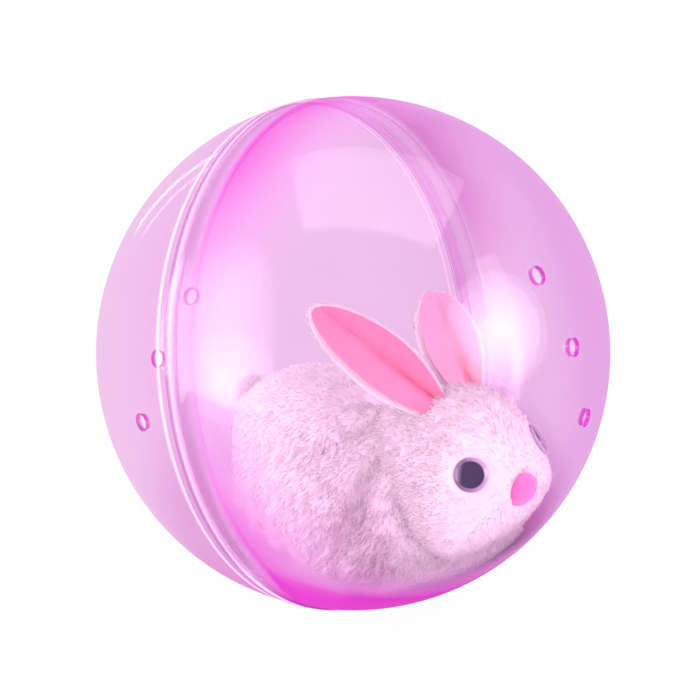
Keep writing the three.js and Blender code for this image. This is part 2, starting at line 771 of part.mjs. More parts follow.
function chassisTray() {
  const inner = chassisWall;
  const shell = planSlab(planOutline(0), [trayBottom - 1, trayTop + 1])
    .intersect(sideSlab(trayOutline(0, trayBottom, trayTop), fullWidth));
  const pocket = planSlab(planOutline(inner), [floorTop - 1, trayTop + 2])
    .intersect(sideSlab(trayOutline(inner, floorTop, trayTop + 1), fullWidth));
  const boxTop = floorTop + cellBoxHeight;
  const sideRibEnd = plateNotchX - seatGap;
  const ribs = [
    box([rearRibX[0], frontRibX[1]], [-cellBoxOuter, -cellBoxInner], [floorTop - 0.2, boxTop]),
    box([rearRibX[0], sideRibEnd], [cellBoxInner, cellBoxOuter], [floorTop - 0.2, boxTop]),
    box(frontRibX, [-cellBoxOuter, cellBoxInner - seatGap], [floorTop + 0.3, boxTop]),
    box(rearRibX, [-cellBoxOuter, cellBoxOuter], [rollerZ + rollerRadius + 0.8, boxTop]),
  ];
  const doorBoss = rodZ(bossRadius, [floorTop - 0.1, floorTop + 2.5], doorScrewX, 0)
    .add(box([frontRibX[0], doorScrewX], [-bossRadius, bossRadius], [floorTop + 0.3, floorTop + 2.5]));
  let tray = shell.subtract(pocket);
  ribs.forEach((rib) => { tray = tray.add(rib); });
  bossPlaces.forEach(([x, y]) => { tray = tray.add(rodZ(bossRadius, [floorTop - 0.2, trayTop], x, y)); });
  tray = tray.add(box(cradleX, cradleY, [floorTop - 0.2, motorZ - 0.6])
    .subtract(rodY(motorCradle, acrossChassis, motorX, motorZ, 24)));
  tray = tray.subtract(planSlab(doorOutline(seatGap), [trayBottom - 1, doorZ[1] + seatGap]))
    .subtract(box([doorRear, frontRibX[0]], [-cellBoxInner, cellBoxInner], [trayBottom - 1, floorTop + 0.01]))
    .add(doorBoss)
    .subtract(rodZ(screwRadius + pressGap, [trayBottom - 1, floorTop + 2], doorScrewX, 0, 8));
  bossPlaces.forEach(([x, y]) => {
    tray = tray.subtract(rodZ(screwRadius + pressGap, [trayBottom - 1, trayTop + 1], x, y, 8))
      .subtract(rodZ(screwHeadRadius + pressGap, [trayBottom - 1, trayBottom + screwHeadHeight], x, y, 8));
  });
  tray = tray.subtract(rodY(axleHole, acrossChassis, axleX, axleZ))
    .subtract(rodY(pinRadius + pressGap, [0, pinSpan[1] + 0.1], secondIdlerPoint.x, secondIdlerPoint.y, 12))
    .subtract(box(slotX, slotY, [trayBottom - 1, floorTop + 1]));
  const windowX = [rollerX - rollerRadius + 0.6, rollerX + rollerRadius - 0.6];
  tray = tray.subtract(box(windowX, [-forkInner, forkInner], [trayBottom - 1, floorTop + 0.5]));
  tray = tray.subtract(rodY(axleGearRoom, [plateY[1] + 0.1, innerPlane[1] + gearPlaneGap], axleX, axleZ, 28));
  return tray.add(rollerFork());
}

function chassisCover() {
  const fullLength = [chassisRear - 1, chassisFront + 1];
  const outer = sideSlab(coverOutline(0, coverBottom), fullWidth)
    .intersect(planSlab(planOutline(0), [coverBottom - 1, coverTop + 1]))
    .intersect(endSlab(endOutline(0), fullLength));
  const inner = sideSlab(coverOutline(chassisWall, coverBottom - 1), fullWidth)
    .intersect(planSlab(planOutline(chassisWall), [coverBottom - 2, coverTop + 1]))
    .intersect(endSlab(endOutline(chassisWall), fullLength));
  let additions = box(cradleX, cradleY, [motorZ + 0.6, coverTop])
    .subtract(rodY(motorCradle, acrossChassis, motorX, motorZ, 24));
  bossPlaces.forEach(([x, y]) => {
    additions = additions.add(rodZ(bossRadius, [coverBottom, coverTop], x, y));
  });
  let cover = outer.subtract(inner).add(additions.intersect(outer));
  bossPlaces.forEach(([x, y]) => {
    const pilot = [coverBottom - 1, coverBottom + screwBite + 0.5];
    cover = cover.subtract(rodZ(screwRadius + pressGap, pilot, x, y, 8));
  });
  return cover.subtract(
    rodY(pinRadius + pressGap, [0, pinSpan[1] + 0.1], firstIdlerPoint.x, firstIdlerPoint.y, 12),
  );
}

// The gearbox plate carries the motor and the inner ends of both idler pins
function gearboxPlate() {
  const plateTop = coverTop - chassisWall - plateEdgeGap;
  const plateFront = chassisFront - chassisWall - 1.5;
  const outline = roundedOutline([
    [motorX - 9, cellZ + cellRadius + 0.8],
    [motorX - 9, plateTop, 2],
    [axleX - 11, plateTop, 2],
    [axleX - 1, plateTop - 3.3, 3],
    [plateFront, splitHeight - 2, 2],
    [plateFront, trayBottom + trayNose - 0.4, 1],
    [chassisFront - trayNose - chassisWall, floorTop + seatGap, 1],
    [plateNotchX, floorTop + seatGap],
    [plateNotchX, cellZ + cellRadius + 0.8],
  ]);
  return sideSlab(outline, plateY)
    .subtract(rodY(motorBossRadius + 0.2, [0, 20], motorX, motorZ))
    .subtract(rodY(pinRadius + pressGap, [0, 20], firstIdlerPoint.x, firstIdlerPoint.y, 12))
    .subtract(rodY(pinRadius + pressGap, [0, 20], secondIdlerPoint.x, secondIdlerPoint.y, 12))
    .subtract(rodY(axleHole, [0, 20], axleX, axleZ));
}

function batteryDoor() {
  const grip = [0, 1, 2].map((i) => box(
    [doorRear + 4 + i * 2, doorRear + 4.8 + i * 2],
    [-3, 3],
    [trayBottom - 1, trayBottom + 0.3],
  ));
  let door = planSlab(doorOutline(0), doorZ)
    .subtract(rodZ(screwRadius + pressGap, [trayBottom - 1, doorZ[1] + 1], doorScrewX, 0, 8))
    .subtract(rodZ(screwHeadRadius + pressGap, [trayBottom - 1, trayBottom + 0.6], doorScrewX, 0, 8));
  grip.forEach((groove) => { door = door.subtract(groove); });
  return door;
}

// A round-headed screw that points up, its head's underside at its seat
function screw(shankLength, headHeight) {
  const profile = [
    [0, -headHeight],
    [screwHeadRadius - 0.3, -headHeight],
    [screwHeadRadius, -headHeight + 0.3],
    [screwHeadRadius, 0],
    [screwRadius, 0],
    [screwRadius, shankLength - 0.6],
    [0, shankLength],
  ].map(([r, y]) => new THREE.Vector2(r, y));
  return new THREE.LatheGeometry(profile, 8).rotateX(Math.PI / 2);
}

function switchBody() {
  return box(switchX, switchY, [switchBottom, switchBottom + switchHeight])
    .subtract(box(slotX, slotY, [switchBottom - 1, switchBottom + 1.6]));
}

function switchKnob() {
  return box(knobX, knobY, [trayBottom - knobDrop, switchBottom + 1.3]);
}

function wire(points) {
  const circle = new THREE.Shape().absarc(0, 0, wireRadius, 0, 2 * Math.PI);
  const path = new THREE.CatmullRomCurve3(points.map(([x, y, z]) => new THREE.Vector3(x, y, z)));
  return new THREE.ExtrudeGeometry(circle, {
    extrudePath: path,
    steps: 14,
    bevelEnabled: false,
    curveSegments: 3,
  });
}

// Plush: a loaf-shaped body, open underneath, whose side and top follow the ball where they meet it

const bodyMiddleX = middle([chassisRear, chassisFront]) + 4.75;
const bodyMiddleZ = trayBottom + 12;
const bodyRear = chassisRear - bodyRearRoom - plushThickness;
const cavityFront = chassisFront + bodyFrontRoom;
const bodyFront = cavityFront + bodyFrontPadding;
const bodyHalfWidth = wheelOuterFace + bodySideRoom + plushThickness;
const bodyTop = coverTop + bodyTopRoom + plushThickness;
const bodyBottom = trayBottom - bodyUnderhang;
const hemHeight = bodyBottom + hemLift;

function loaf({ rear, front, halfWidth, top, bottom, limit, rings, around, square, bluntness }) {
  const ringAt = (angle) => {
    const t = Math.cos(angle);
    const run = t > 0 ? bodyMiddleX - rear : front - bodyMiddleX;
    const x = bodyMiddleX - t * run;
    const width = halfWidth * superRound(t, t > 0 ? 2 : bluntness);
    const rise = (top - bodyMiddleZ) * superRound(t, t > 0 ? 3 : 2.6);
    const drop = (bodyMiddleZ - bottom) * superRound(t, 3);
    return Array.from({ length: around }, (_, k) => {
      const turn = (k * 2 * Math.PI) / around;
      const power = 2 / (Math.sin(turn) > 0 ? square : 8);
      const y = width * signedPower(Math.cos(turn), power);
      const z = bodyMiddleZ + (Math.sin(turn) > 0 ? rise : drop) * signedPower(Math.sin(turn), power);
      return insideSphere(new THREE.Vector3(x, y, z), limit);
    });
  };
  const ringsList = Array.from({ length: rings }, (_, i) => ringAt(((i + 1) * Math.PI) / (rings + 1)));
  return skin(
    new THREE.Vector3(rear, 0, bodyMiddleZ),
    ringsList,
    insideSphere(new THREE.Vector3(front, 0, bodyMiddleZ), limit),
  );
}

const bodyForm = (growth) => solid(loaf({
  rear: bodyRear - growth,
  front: bodyFront + growth,
  halfWidth: bodyHalfWidth + growth,
  top: bodyTop + growth,
  bottom: bodyBottom - growth,
  limit: reach - 0.2 + growth,
  rings: 15,
  around: 24,
  square: 3.2,
  bluntness: 4,
}));

function bodyPlush() {
  const cavity = solid(loaf({
    rear: bodyRear + plushThickness,
    front: cavityFront,
    halfWidth: bodyHalfWidth - plushThickness,
    top: bodyTop - plushThickness,
    bottom: bodyBottom - trayHeight,
    limit: 2 * ballRadius,
    rings: 12,
    around: 20,
    square: 3.8,
    bluntness: 8,
  }));
  const wide = [-2 * ballRadius, 2 * ballRadius];
  const underside = box(wide, wide, [-2 * ballRadius, hemHeight]);
  let body = bodyForm(0).subtract(cavity).subtract(underside);
  [-1, 1].forEach((side) => {
    const width = [wheelInnerFace - wheelRoom, wheelOuterFace + wheelRoom].map((y) => side * y);
    body = body.subtract(rodY(wheelRadius + wheelRoom, width.toSorted((a, b) => a - b), axleX, axleZ, 24));
  });
  return body;
}

const headCentre = new THREE.Vector3(chassisFront - headBack, 0, coverTop - headDrop);
const headReach = reach - headRoom;
const headFront = Math.sqrt(headReach ** 2 - headCentre.z ** 2);
const headHalf = new THREE.Vector3(headFront - headCentre.x + muzzlePress, headHalfWidth, headHalfHeight);

function headForm(growth) {
  const [around, rings] = [22, 14];
  const pointAt = (polar, turn) => {
    const direction = new THREE.Vector3(
      -Math.cos(polar),
      Math.sin(polar) * Math.cos(turn),
      Math.sin(polar) * Math.sin(turn),
    );
    const point = direction.multiply(headHalf.clone().addScalar(growth)).add(headCentre);
    return insideSphere(point, headReach + growth);
  };
  const ringsList = Array.from({ length: rings }, (_, i) => {
    const polar = ((i + 1) * Math.PI) / (rings + 1);
    return Array.from({ length: around }, (_, k) => pointAt(polar, (k * 2 * Math.PI) / around));
  });
  return solid(skin(pointAt(0, 0), ringsList, pointAt(Math.PI, 0)));
}

// An ear is a cupped leaf from its root to its tip, with its lining laid in the cup
function earFrame(rootFromHead, tip, facing) {
  const root = rootFromHead.clone().add(headCentre);
  const run = tip.clone().sub(rootFromHead);
  const forward = run.clone().normalize();
  const up = facing.clone().addScaledVector(forward, -facing.dot(forward)).normalize();
  const side = new THREE.Vector3().crossVectors(up, forward);
  const place = new THREE.Matrix4().makeBasis(forward, side, up).setPosition(root);
  return { run: run.length(), place };
}

function leaf({ from, to, run, halfWidth, thickness, lift, place }) {
  const [around, rings] = [12, 9];
  const widthAt = (s) => halfWidth * Math.sin(Math.PI * Math.min(1, 0.1 + 0.9 * s ** 0.85)) ** 0.62;
  const centreAt = (s) => new THREE.Vector3(run * s, 0, lift + 3 * s * (1 - s));
  const ringAt = (s) => {
    const width = Math.max(widthAt(s), 0.3);
    const swell = thickness * (0.55 + 0.45 * Math.sin(Math.PI * s));
    return Array.from({ length: around }, (_, k) => {
      const turn = (k * 2 * Math.PI) / around;
      const y = width * Math.cos(turn);
      const cup = earCup * (y / earHalfWidth) ** 2;
      return centreAt(s).add(new THREE.Vector3(0, y, cup + swell * Math.sin(turn))).applyMatrix4(place);
    });
  };
  const stations = Array.from({ length: rings }, (_, i) => from + ((to - from) * (i + 0.5)) / rings);
  return solid(skin(
    centreAt(from).applyMatrix4(place),
    stations.map(ringAt),
    centreAt(to).applyMatrix4(place),
  ));
}

function earPieces(root, tip, facing) {
  const frame = earFrame(root, tip, facing);
  const keepOff = headForm(seatGap);
  const back = leaf({ from: 0, to: 1, ...frame, halfWidth: earHalfWidth, thickness: earThickness, lift: 0 });
  const lining = leaf({
    from: 0.06,
    to: 0.94,
    ...frame,
    halfWidth: earHalfWidth * earLiningShare,
    thickness: earLiningThickness,
    lift: earThickness + earLiningThickness + seatGap,
  });
  return { back: back.subtract(keepOff), lining: lining.subtract(keepOff) };
}

// Eyes: a clear dome on a stem, a dark pupil let into its back, and a washer on the stem inside the head

function eyeFrame(side) {
  const centre = eyeShare.clone().multiply(headHalf).add(headCentre);
  const outward = eyeShare.clone().divide(headHalf).normalize();
  centre.y *= side;
  outward.y *= side;
  const turn = new THREE.Quaternion().setFromUnitVectors(new THREE.Vector3(0, 1, 0), outward);
  return new THREE.Matrix4().compose(centre, turn, new THREE.Vector3(1, 1, 1));
}

function eyeDome() {
  const arc = Array.from({ length: 6 }, (_, i) => {
    const angle = (i * Math.PI) / 10;
    return [i === 5 ? 0 : eyeRadius * Math.cos(angle), 0.4 + (eyeHeight - 0.4) * Math.sin(angle)];
  });
  const recess = pupilRadius + pupilGap;
  const profile = [
    [0, -eyeStemLength],
    [eyeStemRadius, -eyeStemLength],
    [eyeStemRadius, 0.6],
    [eyeStemRadius + 0.2, 0.6],
    [eyeStemRadius + 0.2, 0.9 + pupilThickness],
    [recess, 0.7 + pupilThickness],
    [recess, 0],
    [eyeRadius, 0],
    ...arc,
  ].map(([r, y]) => new THREE.Vector2(r, y));
  return new THREE.LatheGeometry(profile, 16);
}

function ringPiece(inner, outer, y, segments) {
  const profile = [[inner, y[0]], [outer, y[0]], [outer, y[1]], [inner, y[1]], [inner, y[0]]]
    .map(([r, height]) => new THREE.Vector2(r, height));
  return new THREE.LatheGeometry(profile, segments);
}

const pupilY = [pupilGap, pupilGap + 0.2 + pupilThickness];
const washerY = [-eyeStemLength + 0.6, -eyeStemLength + 0.6 + washerThickness];

function eyeRoom(frame) {
  const socket = new THREE.CylinderGeometry(eyeRadius + 0.2, eyeRadius + 0.2, 8, 20).translate(0, 4 - 0.3, 0);
  const stemRoom = eyeStemRadius + seatGap;
  const stem = new THREE.CylinderGeometry(stemRoom, stemRoom, 12, 14).translate(0, -0.1, 0);
  const room = length(washerY) + 2 * seatGap;
  const washer = new THREE.CylinderGeometry(washerRadius + seatGap, washerRadius + seatGap, room, 18)
    .translate(0, middle(washerY), 0);
  return [socket, stem, washer].map((geometry) => solid(geometry.applyMatrix4(frame)));
}

function nosePlace() {
  const noseHeight = headCentre.z + noseRise;
  const x = Math.sqrt(headReach ** 2 - noseHeight ** 2);
  const outward = new THREE.Vector3(x, 0, noseHeight).normalize();
  const seat = outward.clone().multiplyScalar(headReach + noseGap);
  const turn = new THREE.Quaternion().setFromUnitVectors(new THREE.Vector3(0, 1, 0), outward);
  return new THREE.Matrix4().compose(seat, turn, new THREE.Vector3(1, 1, 1));
}

function noseButton() {
  const arc = Array.from({ length: 6 }, (_, i) => {
    const angle = (i * Math.PI) / 10;
    return [i === 5 ? 0 : noseRadius * Math.cos(angle), 0.3 + (noseThickness - 0.3) * Math.sin(angle)];
  });
  const profile = [[0, 0], [noseRadius - 0.3, 0], ...arc].map(([r, y]) => new THREE.Vector2(r, y));
  return new THREE.LatheGeometry(profile, 20).applyMatrix4(nosePlace());
}

function tailPlush() {
  const tuft = new THREE.SphereGeometry(tailRadius, 10, 7);
  return solid(tuft.translate(bodyRear - tailSeat, 0, bodyMiddleZ + tailRise)).subtract(bodyForm(seatGap));
}

function headPlush() {
  let head = headForm(0).subtract(bodyForm(seatGap));
  [-1, 1].forEach((side) => {
    eyeRoom(eyeFrame(side)).forEach((room) => { head = head.subtract(room); });
  });
  return head;
}

// Assembly

const toy = new THREE.Group();

const ball = new THREE.Group();
ball.rotation.set(0, -ballAxisRise, ballAxisYaw, 'ZYX');
toy.add(ball);
addPiece(ball, 'front_half_shell', frontShell(), frontShellFinish);
addPiece(ball, 'rear_half_shell', rearShell(), rearShellFinish);

const rabbit = new THREE.Group();
toy.add(rabbit);
addPiece(rabbit, 'body_plush', bodyPlush(), plushFinish);
addPiece(rabbit, 'head_plush', headPlush(), plushFinish);
[
  ['right', rightEarRoot, rightEarTip, rightEarFacing],
  ['left', leftEarRoot, leftEarTip, leftEarFacing],
].forEach(([side, root, tip, facing]) => {
  const ear = earPieces(root, tip, facing);
  addPiece(rabbit, `${side}_ear`, ear.back, plushFinish);
  addPiece(rabbit, `${side}_ear_lining`, ear.lining, satinFinish);
});
addPiece(rabbit, 'tail', tailPlush(), plushFinish);
addPiece(rabbit, 'nose_button', noseButton(), noseFinish);
[['right', -1], ['left', 1]].forEach(([name, side]) => {
  const eye = new THREE.Group();
  eyeFrame(side).decompose(eye.position, eye.quaternion, eye.scale);
  rabbit.add(eye);
  const pupil = ringPiece(eyeStemRadius + 0.35, pupilRadius, pupilY, 14);
  const washer = ringPiece(eyeStemRadius + 0.2, washerRadius, washerY, 12);
  addPiece(eye, `${name}_eye_dome`, eyeDome(), eyeClearFinish);
  addPiece(eye, `${name}_eye_pupil`, pupil, pupilFinish);
  addPiece(eye, `${name}_eye_washer`, washer, whitePlastic);
});

const cart = new THREE.Group();
toy.add(cart);
addPiece(cart, 'chassis_tray', chassisTray(), whitePlastic);
addPiece(cart, 'chassis_cover', chassisCover(), whitePlastic);
addPiece(cart, 'gearbox_plate', gearboxPlate(), greyPlastic);
addPiece(cart, 'motor_can', motorCan(), steel);
addPiece(cart, 'motor_end_cap', motorEndCap(), blackPlastic);

const shaftY = [motorFace - motorShaftSocket + 0.4, outerPlane[1] + 0.1];
addPiece(cart, 'motor_shaft', rodY(motorShaftRadius, shaftY, motorX, motorZ, 12), steel);
const pinion = addPiece(cart, 'motor_pinion', motorPinion(), gearPlastic);
pinion.position.set(motorX, 0, motorZ);

const firstIdlerMesh = addPiece(cart, 'first_idler_gear', firstIdler(), gearPlastic);
firstIdlerMesh.position.set(firstIdlerPoint.x, 0, firstIdlerPoint.y);
const secondIdlerMesh = addPiece(cart, 'second_idler_gear', secondIdler(), gearPlastic);
secondIdlerMesh.position.set(secondIdlerPoint.x, 0, secondIdlerPoint.y);
[['first_idler_pin', firstIdlerPoint], ['second_idler_pin', secondIdlerPoint]].forEach(([name, point]) => {
  addPiece(cart, name, rodY(pinRadius, pinSpan, point.x, point.y, 12), steel);
});

const axle = new THREE.Group();
axle.position.set(axleX, 0, axleZ);
cart.add(axle);
addPiece(axle, 'drive_axle', rodY(axleRadius, [-axleEnd, axleEnd], 0, 0), steel);
addPiece(axle, 'axle_gear', axleGear(), gearPlastic);
[['right', -1], ['left', 1]].forEach(([name, side]) => {
  const wheel = new THREE.Group();
  wheel.position.y = side * (wheelInnerFace + wheelWidth / 2);
  wheel.rotation.x = side < 0 ? Math.PI : 0;
  axle.add(wheel);
  addPiece(wheel, `${name}_wheel_hub`, wheelHub(), pinkPlastic);
  addPiece(wheel, `${name}_tyre`, tyre(), tyreRubber);
});

const rollerProfile = [
  [pinHole, -rollerHalfWidth],
  [rollerRadius - 0.5, -rollerHalfWidth],
  [rollerRadius, -rollerHalfWidth + 0.5],
  [rollerRadius, rollerHalfWidth - 0.5],
  [rollerRadius - 0.5, rollerHalfWidth],
  [pinHole, rollerHalfWidth],
  [pinHole, -rollerHalfWidth],
].map(([r, y]) => new THREE.Vector2(r, y));
const roller = addPiece(cart, 'rear_roller', new THREE.LatheGeometry(rollerProfile, 20), greyPlastic);
roller.position.set(rollerX, 0, rollerZ);
addPiece(cart, 'roller_pin', rodY(pinRadius, [-forkOuter, forkOuter], rollerX, rollerZ, 12), steel);

const cell = addPiece(cart, 'battery_cell', batteryCell(), cellFinish);
cell.position.set(cellRear, 0, cellZ);
const spring = addPiece(cart, 'battery_spring', batterySpring(), steel);
spring.position.set(springX[0], 0, cellZ);
addPiece(
  cart,
  'battery_contact',
  box(contactX, [-contactHalfWidth, contactHalfWidth], [floorTop + 0.6, floorTop + cellBoxHeight]),
  brass,
);
addPiece(cart, 'battery_door', batteryDoor(), whitePlastic);
const doorScrew = addPiece(cart, 'battery_door_screw', screw(doorScrewLength, 0.5), steel);
doorScrew.position.set(doorScrewX, 0, trayBottom + 0.6);
bossPlaces.forEach(([x, y], i) => {
  const seat = trayBottom + screwHeadHeight - 0.05;
  const shank = coverBottom + screwBite - seat;
  const coverScrew = addPiece(cart, `cover_screw_${i + 1}`, screw(shank, 0.7), steel);
  coverScrew.position.set(x, y, seat - 0.05);
});

addPiece(cart, 'switch_body', switchBody(), blackPlastic);
addPiece(cart, 'switch_knob', switchKnob(), greyPlastic);

// Wires, as points counted from the cell's ends, the switch or the motor, and up from the tray's floor
const switchMiddleY = middle(switchY);
const fromCellRear = (x, y, z) => [cellRear + x, y, floorTop + z];
const fromCellFront = (x, y, z) => [nubEnd + x, y, floorTop + z];
const fromMotor = (x, y, z) => [motorX + x, motorCapY[0] + y, motorZ + z];
addPiece(cart, 'wire_battery_to_switch', wire([
  fromCellRear(-3.2, -4.7, 5.6),
  fromCellRear(-3.2, -4.7, 9.1),
  [switchX[0] - 4.9, -cellBoxOuter + 0.2, floorTop + 11],
  [switchX[0] - 2.2, switchMiddleY + 0.55, floorTop + 9.1],
  [switchX[0] + 1.3, switchMiddleY + 0.05, floorTop + 6.2],
  [switchX[0] + 1.7, switchMiddleY + 0.05, floorTop + 4.5],
]), blackInsulation);
addPiece(cart, 'wire_switch_to_motor', wire([
  [switchX[1] - 1.6, switchMiddleY + 0.05, floorTop + 4.5],
  [switchX[1] - 0.6, switchMiddleY + 0.75, floorTop + 7.6],
  fromMotor(-motorRadius - 1.95, 3.9, -7.2),
  fromMotor(-motorRadius - 1.95, 0.6, -4),
  fromMotor(-motorRadius + 0.65, -0.5, -2.6),
  fromMotor(-4.1, -0.6, -1.2),
]), blackInsulation);
addPiece(cart, 'wire_motor_to_battery', wire([
  fromMotor(4.1, -0.6, -1.2),
  fromMotor(9, -0.4, -4),
  fromCellFront(-4.5, -10, 12.6),
  fromCellFront(-0.9, -6, 11.6),
  fromCellFront(0.4, -3, 11.8),
  fromCellFront(0.4, -2.2, 10.4),
]), redInsulation);

console.log(`least gap of the battery spring to itself: ${springLeastGap().toFixed(2)} mm`);

export default toy;
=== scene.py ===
"""Rolling ball pet toy: a clear two-part ball with a plush rabbit on a motor cart inside it.

Every shape is worked out in millimetres as whole numpy arrays and scaled to metres when its mesh is made.
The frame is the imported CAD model: its origin is the ball's centre and the rabbit faces +X.
"""

import json
import math

import bpy
import numpy as np
from bpy.props import FloatProperty, FloatVectorProperty, IntProperty, PointerProperty
from mathutils import Matrix


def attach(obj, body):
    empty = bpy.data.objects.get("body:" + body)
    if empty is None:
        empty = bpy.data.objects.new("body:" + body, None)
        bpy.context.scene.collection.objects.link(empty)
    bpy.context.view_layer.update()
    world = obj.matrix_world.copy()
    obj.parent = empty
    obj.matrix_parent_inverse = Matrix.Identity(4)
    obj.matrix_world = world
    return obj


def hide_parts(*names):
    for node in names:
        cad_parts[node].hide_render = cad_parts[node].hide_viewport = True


bl_info = {
    "name": "Rolling Ball Pet Toy",
    "version": (1, 0, 0),
    "blender": (4, 5, 0),
    "location": "View3D > Sidebar > Ball Toy",
    "description": "Builds the clear ball, the plush rabbit and the finishes of its cart",
    "category": "Add Mesh",
}

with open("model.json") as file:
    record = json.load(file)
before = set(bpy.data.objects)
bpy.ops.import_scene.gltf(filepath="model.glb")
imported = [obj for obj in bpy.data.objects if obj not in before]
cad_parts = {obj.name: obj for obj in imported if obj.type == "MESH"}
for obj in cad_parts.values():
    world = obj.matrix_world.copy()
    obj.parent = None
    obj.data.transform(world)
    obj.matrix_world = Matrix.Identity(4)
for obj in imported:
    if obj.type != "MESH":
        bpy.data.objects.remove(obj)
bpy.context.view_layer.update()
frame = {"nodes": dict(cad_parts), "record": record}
SLOT_OF = {part["node"]: part["material_slot"] for part in frame["record"]["subparts"]}
MM = 0.001
CART = "rabbit_cart"


# ---------------------------------------------------------------- settings


def colour(name, description, value):
    """A linear colour that a user can change, given here as sRGB 0 to 255."""
    linear = [round((v / 255) ** 2.2, 5) for v in value]
    return FloatVectorProperty(
        name=name, description=description, default=linear, size=3, min=0, max=1, subtype="COLOR"
    )


def size(name, description, value):
    """A length in metres that a user can change, given here in millimetres."""
    return FloatProperty(
        name=name, description=description, default=value * MM, min=0, unit="LENGTH", precision=5
    )


def angle(name, description, value):
    """An angle that a user can change, given here in degrees."""
    return FloatProperty(name=name, description=description, default=math.radians(value), subtype="ANGLE")


def count_of(name, description, value):
    """A number of tufts that a user can change."""
    return IntProperty(name=name, description=description, default=value, min=100)


class BallSettings(bpy.types.PropertyGroup):
    radius: size("Radius", "Outer radius of the ball", 62.5)
    wall: size("Wall", "Thickness of the ball's wall", 2.0)
    lap: size("Lap", "How far the front half laps over the rear half's tongue", 8.0)
    tongue: size("Tongue", "Thickness of the rear half's tongue", 0.75)
    lap_gap: size("Lap gap", "Clearance in the lap joint", 0.3)
    band_width: size("Band width", "Width of the raised band at the front half's rim", 4.0)
    band_rise: size("Band rise", "How far that band stands proud", 0.3)
    vent: size("Vent", "Radius of a vent hole", 2.1)
    rise: angle("Rise", "Tilt of the ball's axis above level", 16.5)
    yaw: angle("Yaw", "Turn of the ball's axis from the rabbit's heading", 12)
    spread: angle("Vent spread", "Angle between neighbouring vents", 18)
    front_lean: angle("Front lean", "Lean of the front row of vents", 9)
    rear_lean: angle("Rear lean", "Lean of the rear row of vents", 55)
    tint: colour("Tint", "What the clear plastic lets through", (249, 236, 247))
    stain: colour("Stain", "What its lilac stain lets through", (236, 186, 236))
    dye: colour("Dye", "Magenta dye near the rims", (188, 46, 172))
    lilac: colour("Lilac", "Paler dye towards the poles", (214, 150, 216))


class PlushSettings(bpy.types.PropertyGroup):
    pile: size("Pile", "Length of the fur", 2.6)
    hair: size("Hair", "Width of one tuft of fur at its root", 0.26)
    body_tufts: count_of("Body tufts", "Tufts on the body", 17000)
    head_tufts: count_of("Head tufts", "Tufts on the head", 15000)
    fur: colour("Fur", "White plush", (250, 251, 244))
    fur_low: colour("Fur root", "Plush down among the tufts", (246, 238, 238))
    satin: colour("Satin", "Ear lining", (255, 145, 175))
    nose: colour("Nose", "Flocked nose", (255, 122, 196))
    pupil: colour("Pupil", "Pupil of the eye", (24, 12, 60))
    iris: colour("Iris", "Ring round the pupil", (206, 178, 210))


class StageSettings(bpy.types.PropertyGroup):
    azimuth: angle("Azimuth", "Camera's turn round the ball", 44)
    elevation: angle("Elevation", "Camera's height angle", 27)
    distance: FloatProperty(
        name="Distance", description="Camera's distance from the ball's centre", default=0.6, unit="LENGTH"
    )
    lens: FloatProperty(name="Lens", description="Focal length in millimetres", default=126.3)
    world: FloatProperty(name="World", description="Strength of the even light from all round", default=0.8)


# ---------------------------------------------------------------- meshes


def unit(v):
    """Each vector over its own length."""
    return v / np.maximum(np.linalg.norm(v, axis=-1, keepdims=True), 1e-12)


def circle(steps):
    """Angles evenly round a full turn."""
    return np.linspace(0, 2 * np.pi, steps, endpoint=False)


def sphere_parts(rows, around, power=1.0):
    """x, y and height of a unit sphere's points, in rows from its top, without the two poles.

    x and y are the polar angle's sine to a power times the turn's cosine and sine.
    """
    polar = np.linspace(0, np.pi, rows)[1:-1, None]
    turn = circle(around)[None]
    across = np.sin(polar) ** power
    return across * np.cos(turn), across * np.sin(turn), np.cos(polar) * np.ones_like(turn)


def add_object(name, points, faces, smooth=True):
    """A mesh object from points in millimetres and a list of face arrays, one array for each face size."""
    mesh = bpy.data.meshes.new(name)
    polygons = [face for block in faces for face in block.tolist()]
    mesh.from_pydata((np.asarray(points, float) * MM).tolist(), [], polygons)
    mesh.validate()
    mesh.update()
    mesh.polygons.foreach_set("use_smooth", np.full(len(mesh.polygons), smooth))
    obj = bpy.data.objects.new(name, mesh)
    bpy.context.scene.collection.objects.link(obj)
    return obj


def dome_faces(rows, columns, first=0, top=None, bottom=None, flip=False):
    """Quads of a grid whose columns wrap round, with a fan to a top and a bottom point where one is given."""
    row, col = np.meshgrid(np.arange(rows - 1), np.arange(columns), indexing="ij")
    nxt = (col + 1) % columns
    at = lambda r, c: first + r * columns + c
    quads = np.stack([at(row, col), at(row + 1, col), at(row + 1, nxt), at(row, nxt)], -1).reshape(-1, 4)
    ring = np.arange(columns)
    after = (ring + 1) % columns
    faces = [quads]
    if top is not None:
        faces.append(np.stack([np.full(columns, top), at(0, ring), at(0, after)], -1))
    if bottom is not None:
        faces.append(np.stack([np.full(columns, bottom), at(rows - 1, after), at(rows - 1, ring)], -1))
    return [f[:, ::-1] for f in faces] if flip else faces


def outward(points, faces):
    """The faces, turned over if the skin that they close holds less than nothing.

    The volume is the sum of the triple products of each face's fan of triangles.
    """
    volume = 0.0
    for f in faces:
        corners = [points[f[:, i]] for i in range(f.shape[1])]
        for second, third in zip(corners[1:], corners[2:]):
            volume += np.einsum("ij,ij->i", corners[0], np.cross(second, third)).sum()
    return faces if volume > 0 else [f[:, ::-1] for f in faces]


def closed_rings(name, rings, start, end):
    """A closed skin through rings (rows, columns, 3), with a pole at each end."""
    rows, columns = rings.shape[:2]
    points = np.concatenate([rings.reshape(-1, 3), [start], [end]])
    n = rows * columns
    return add_object(name, points, outward(points, dome_faces(rows, columns, top=n, bottom=n + 1)))


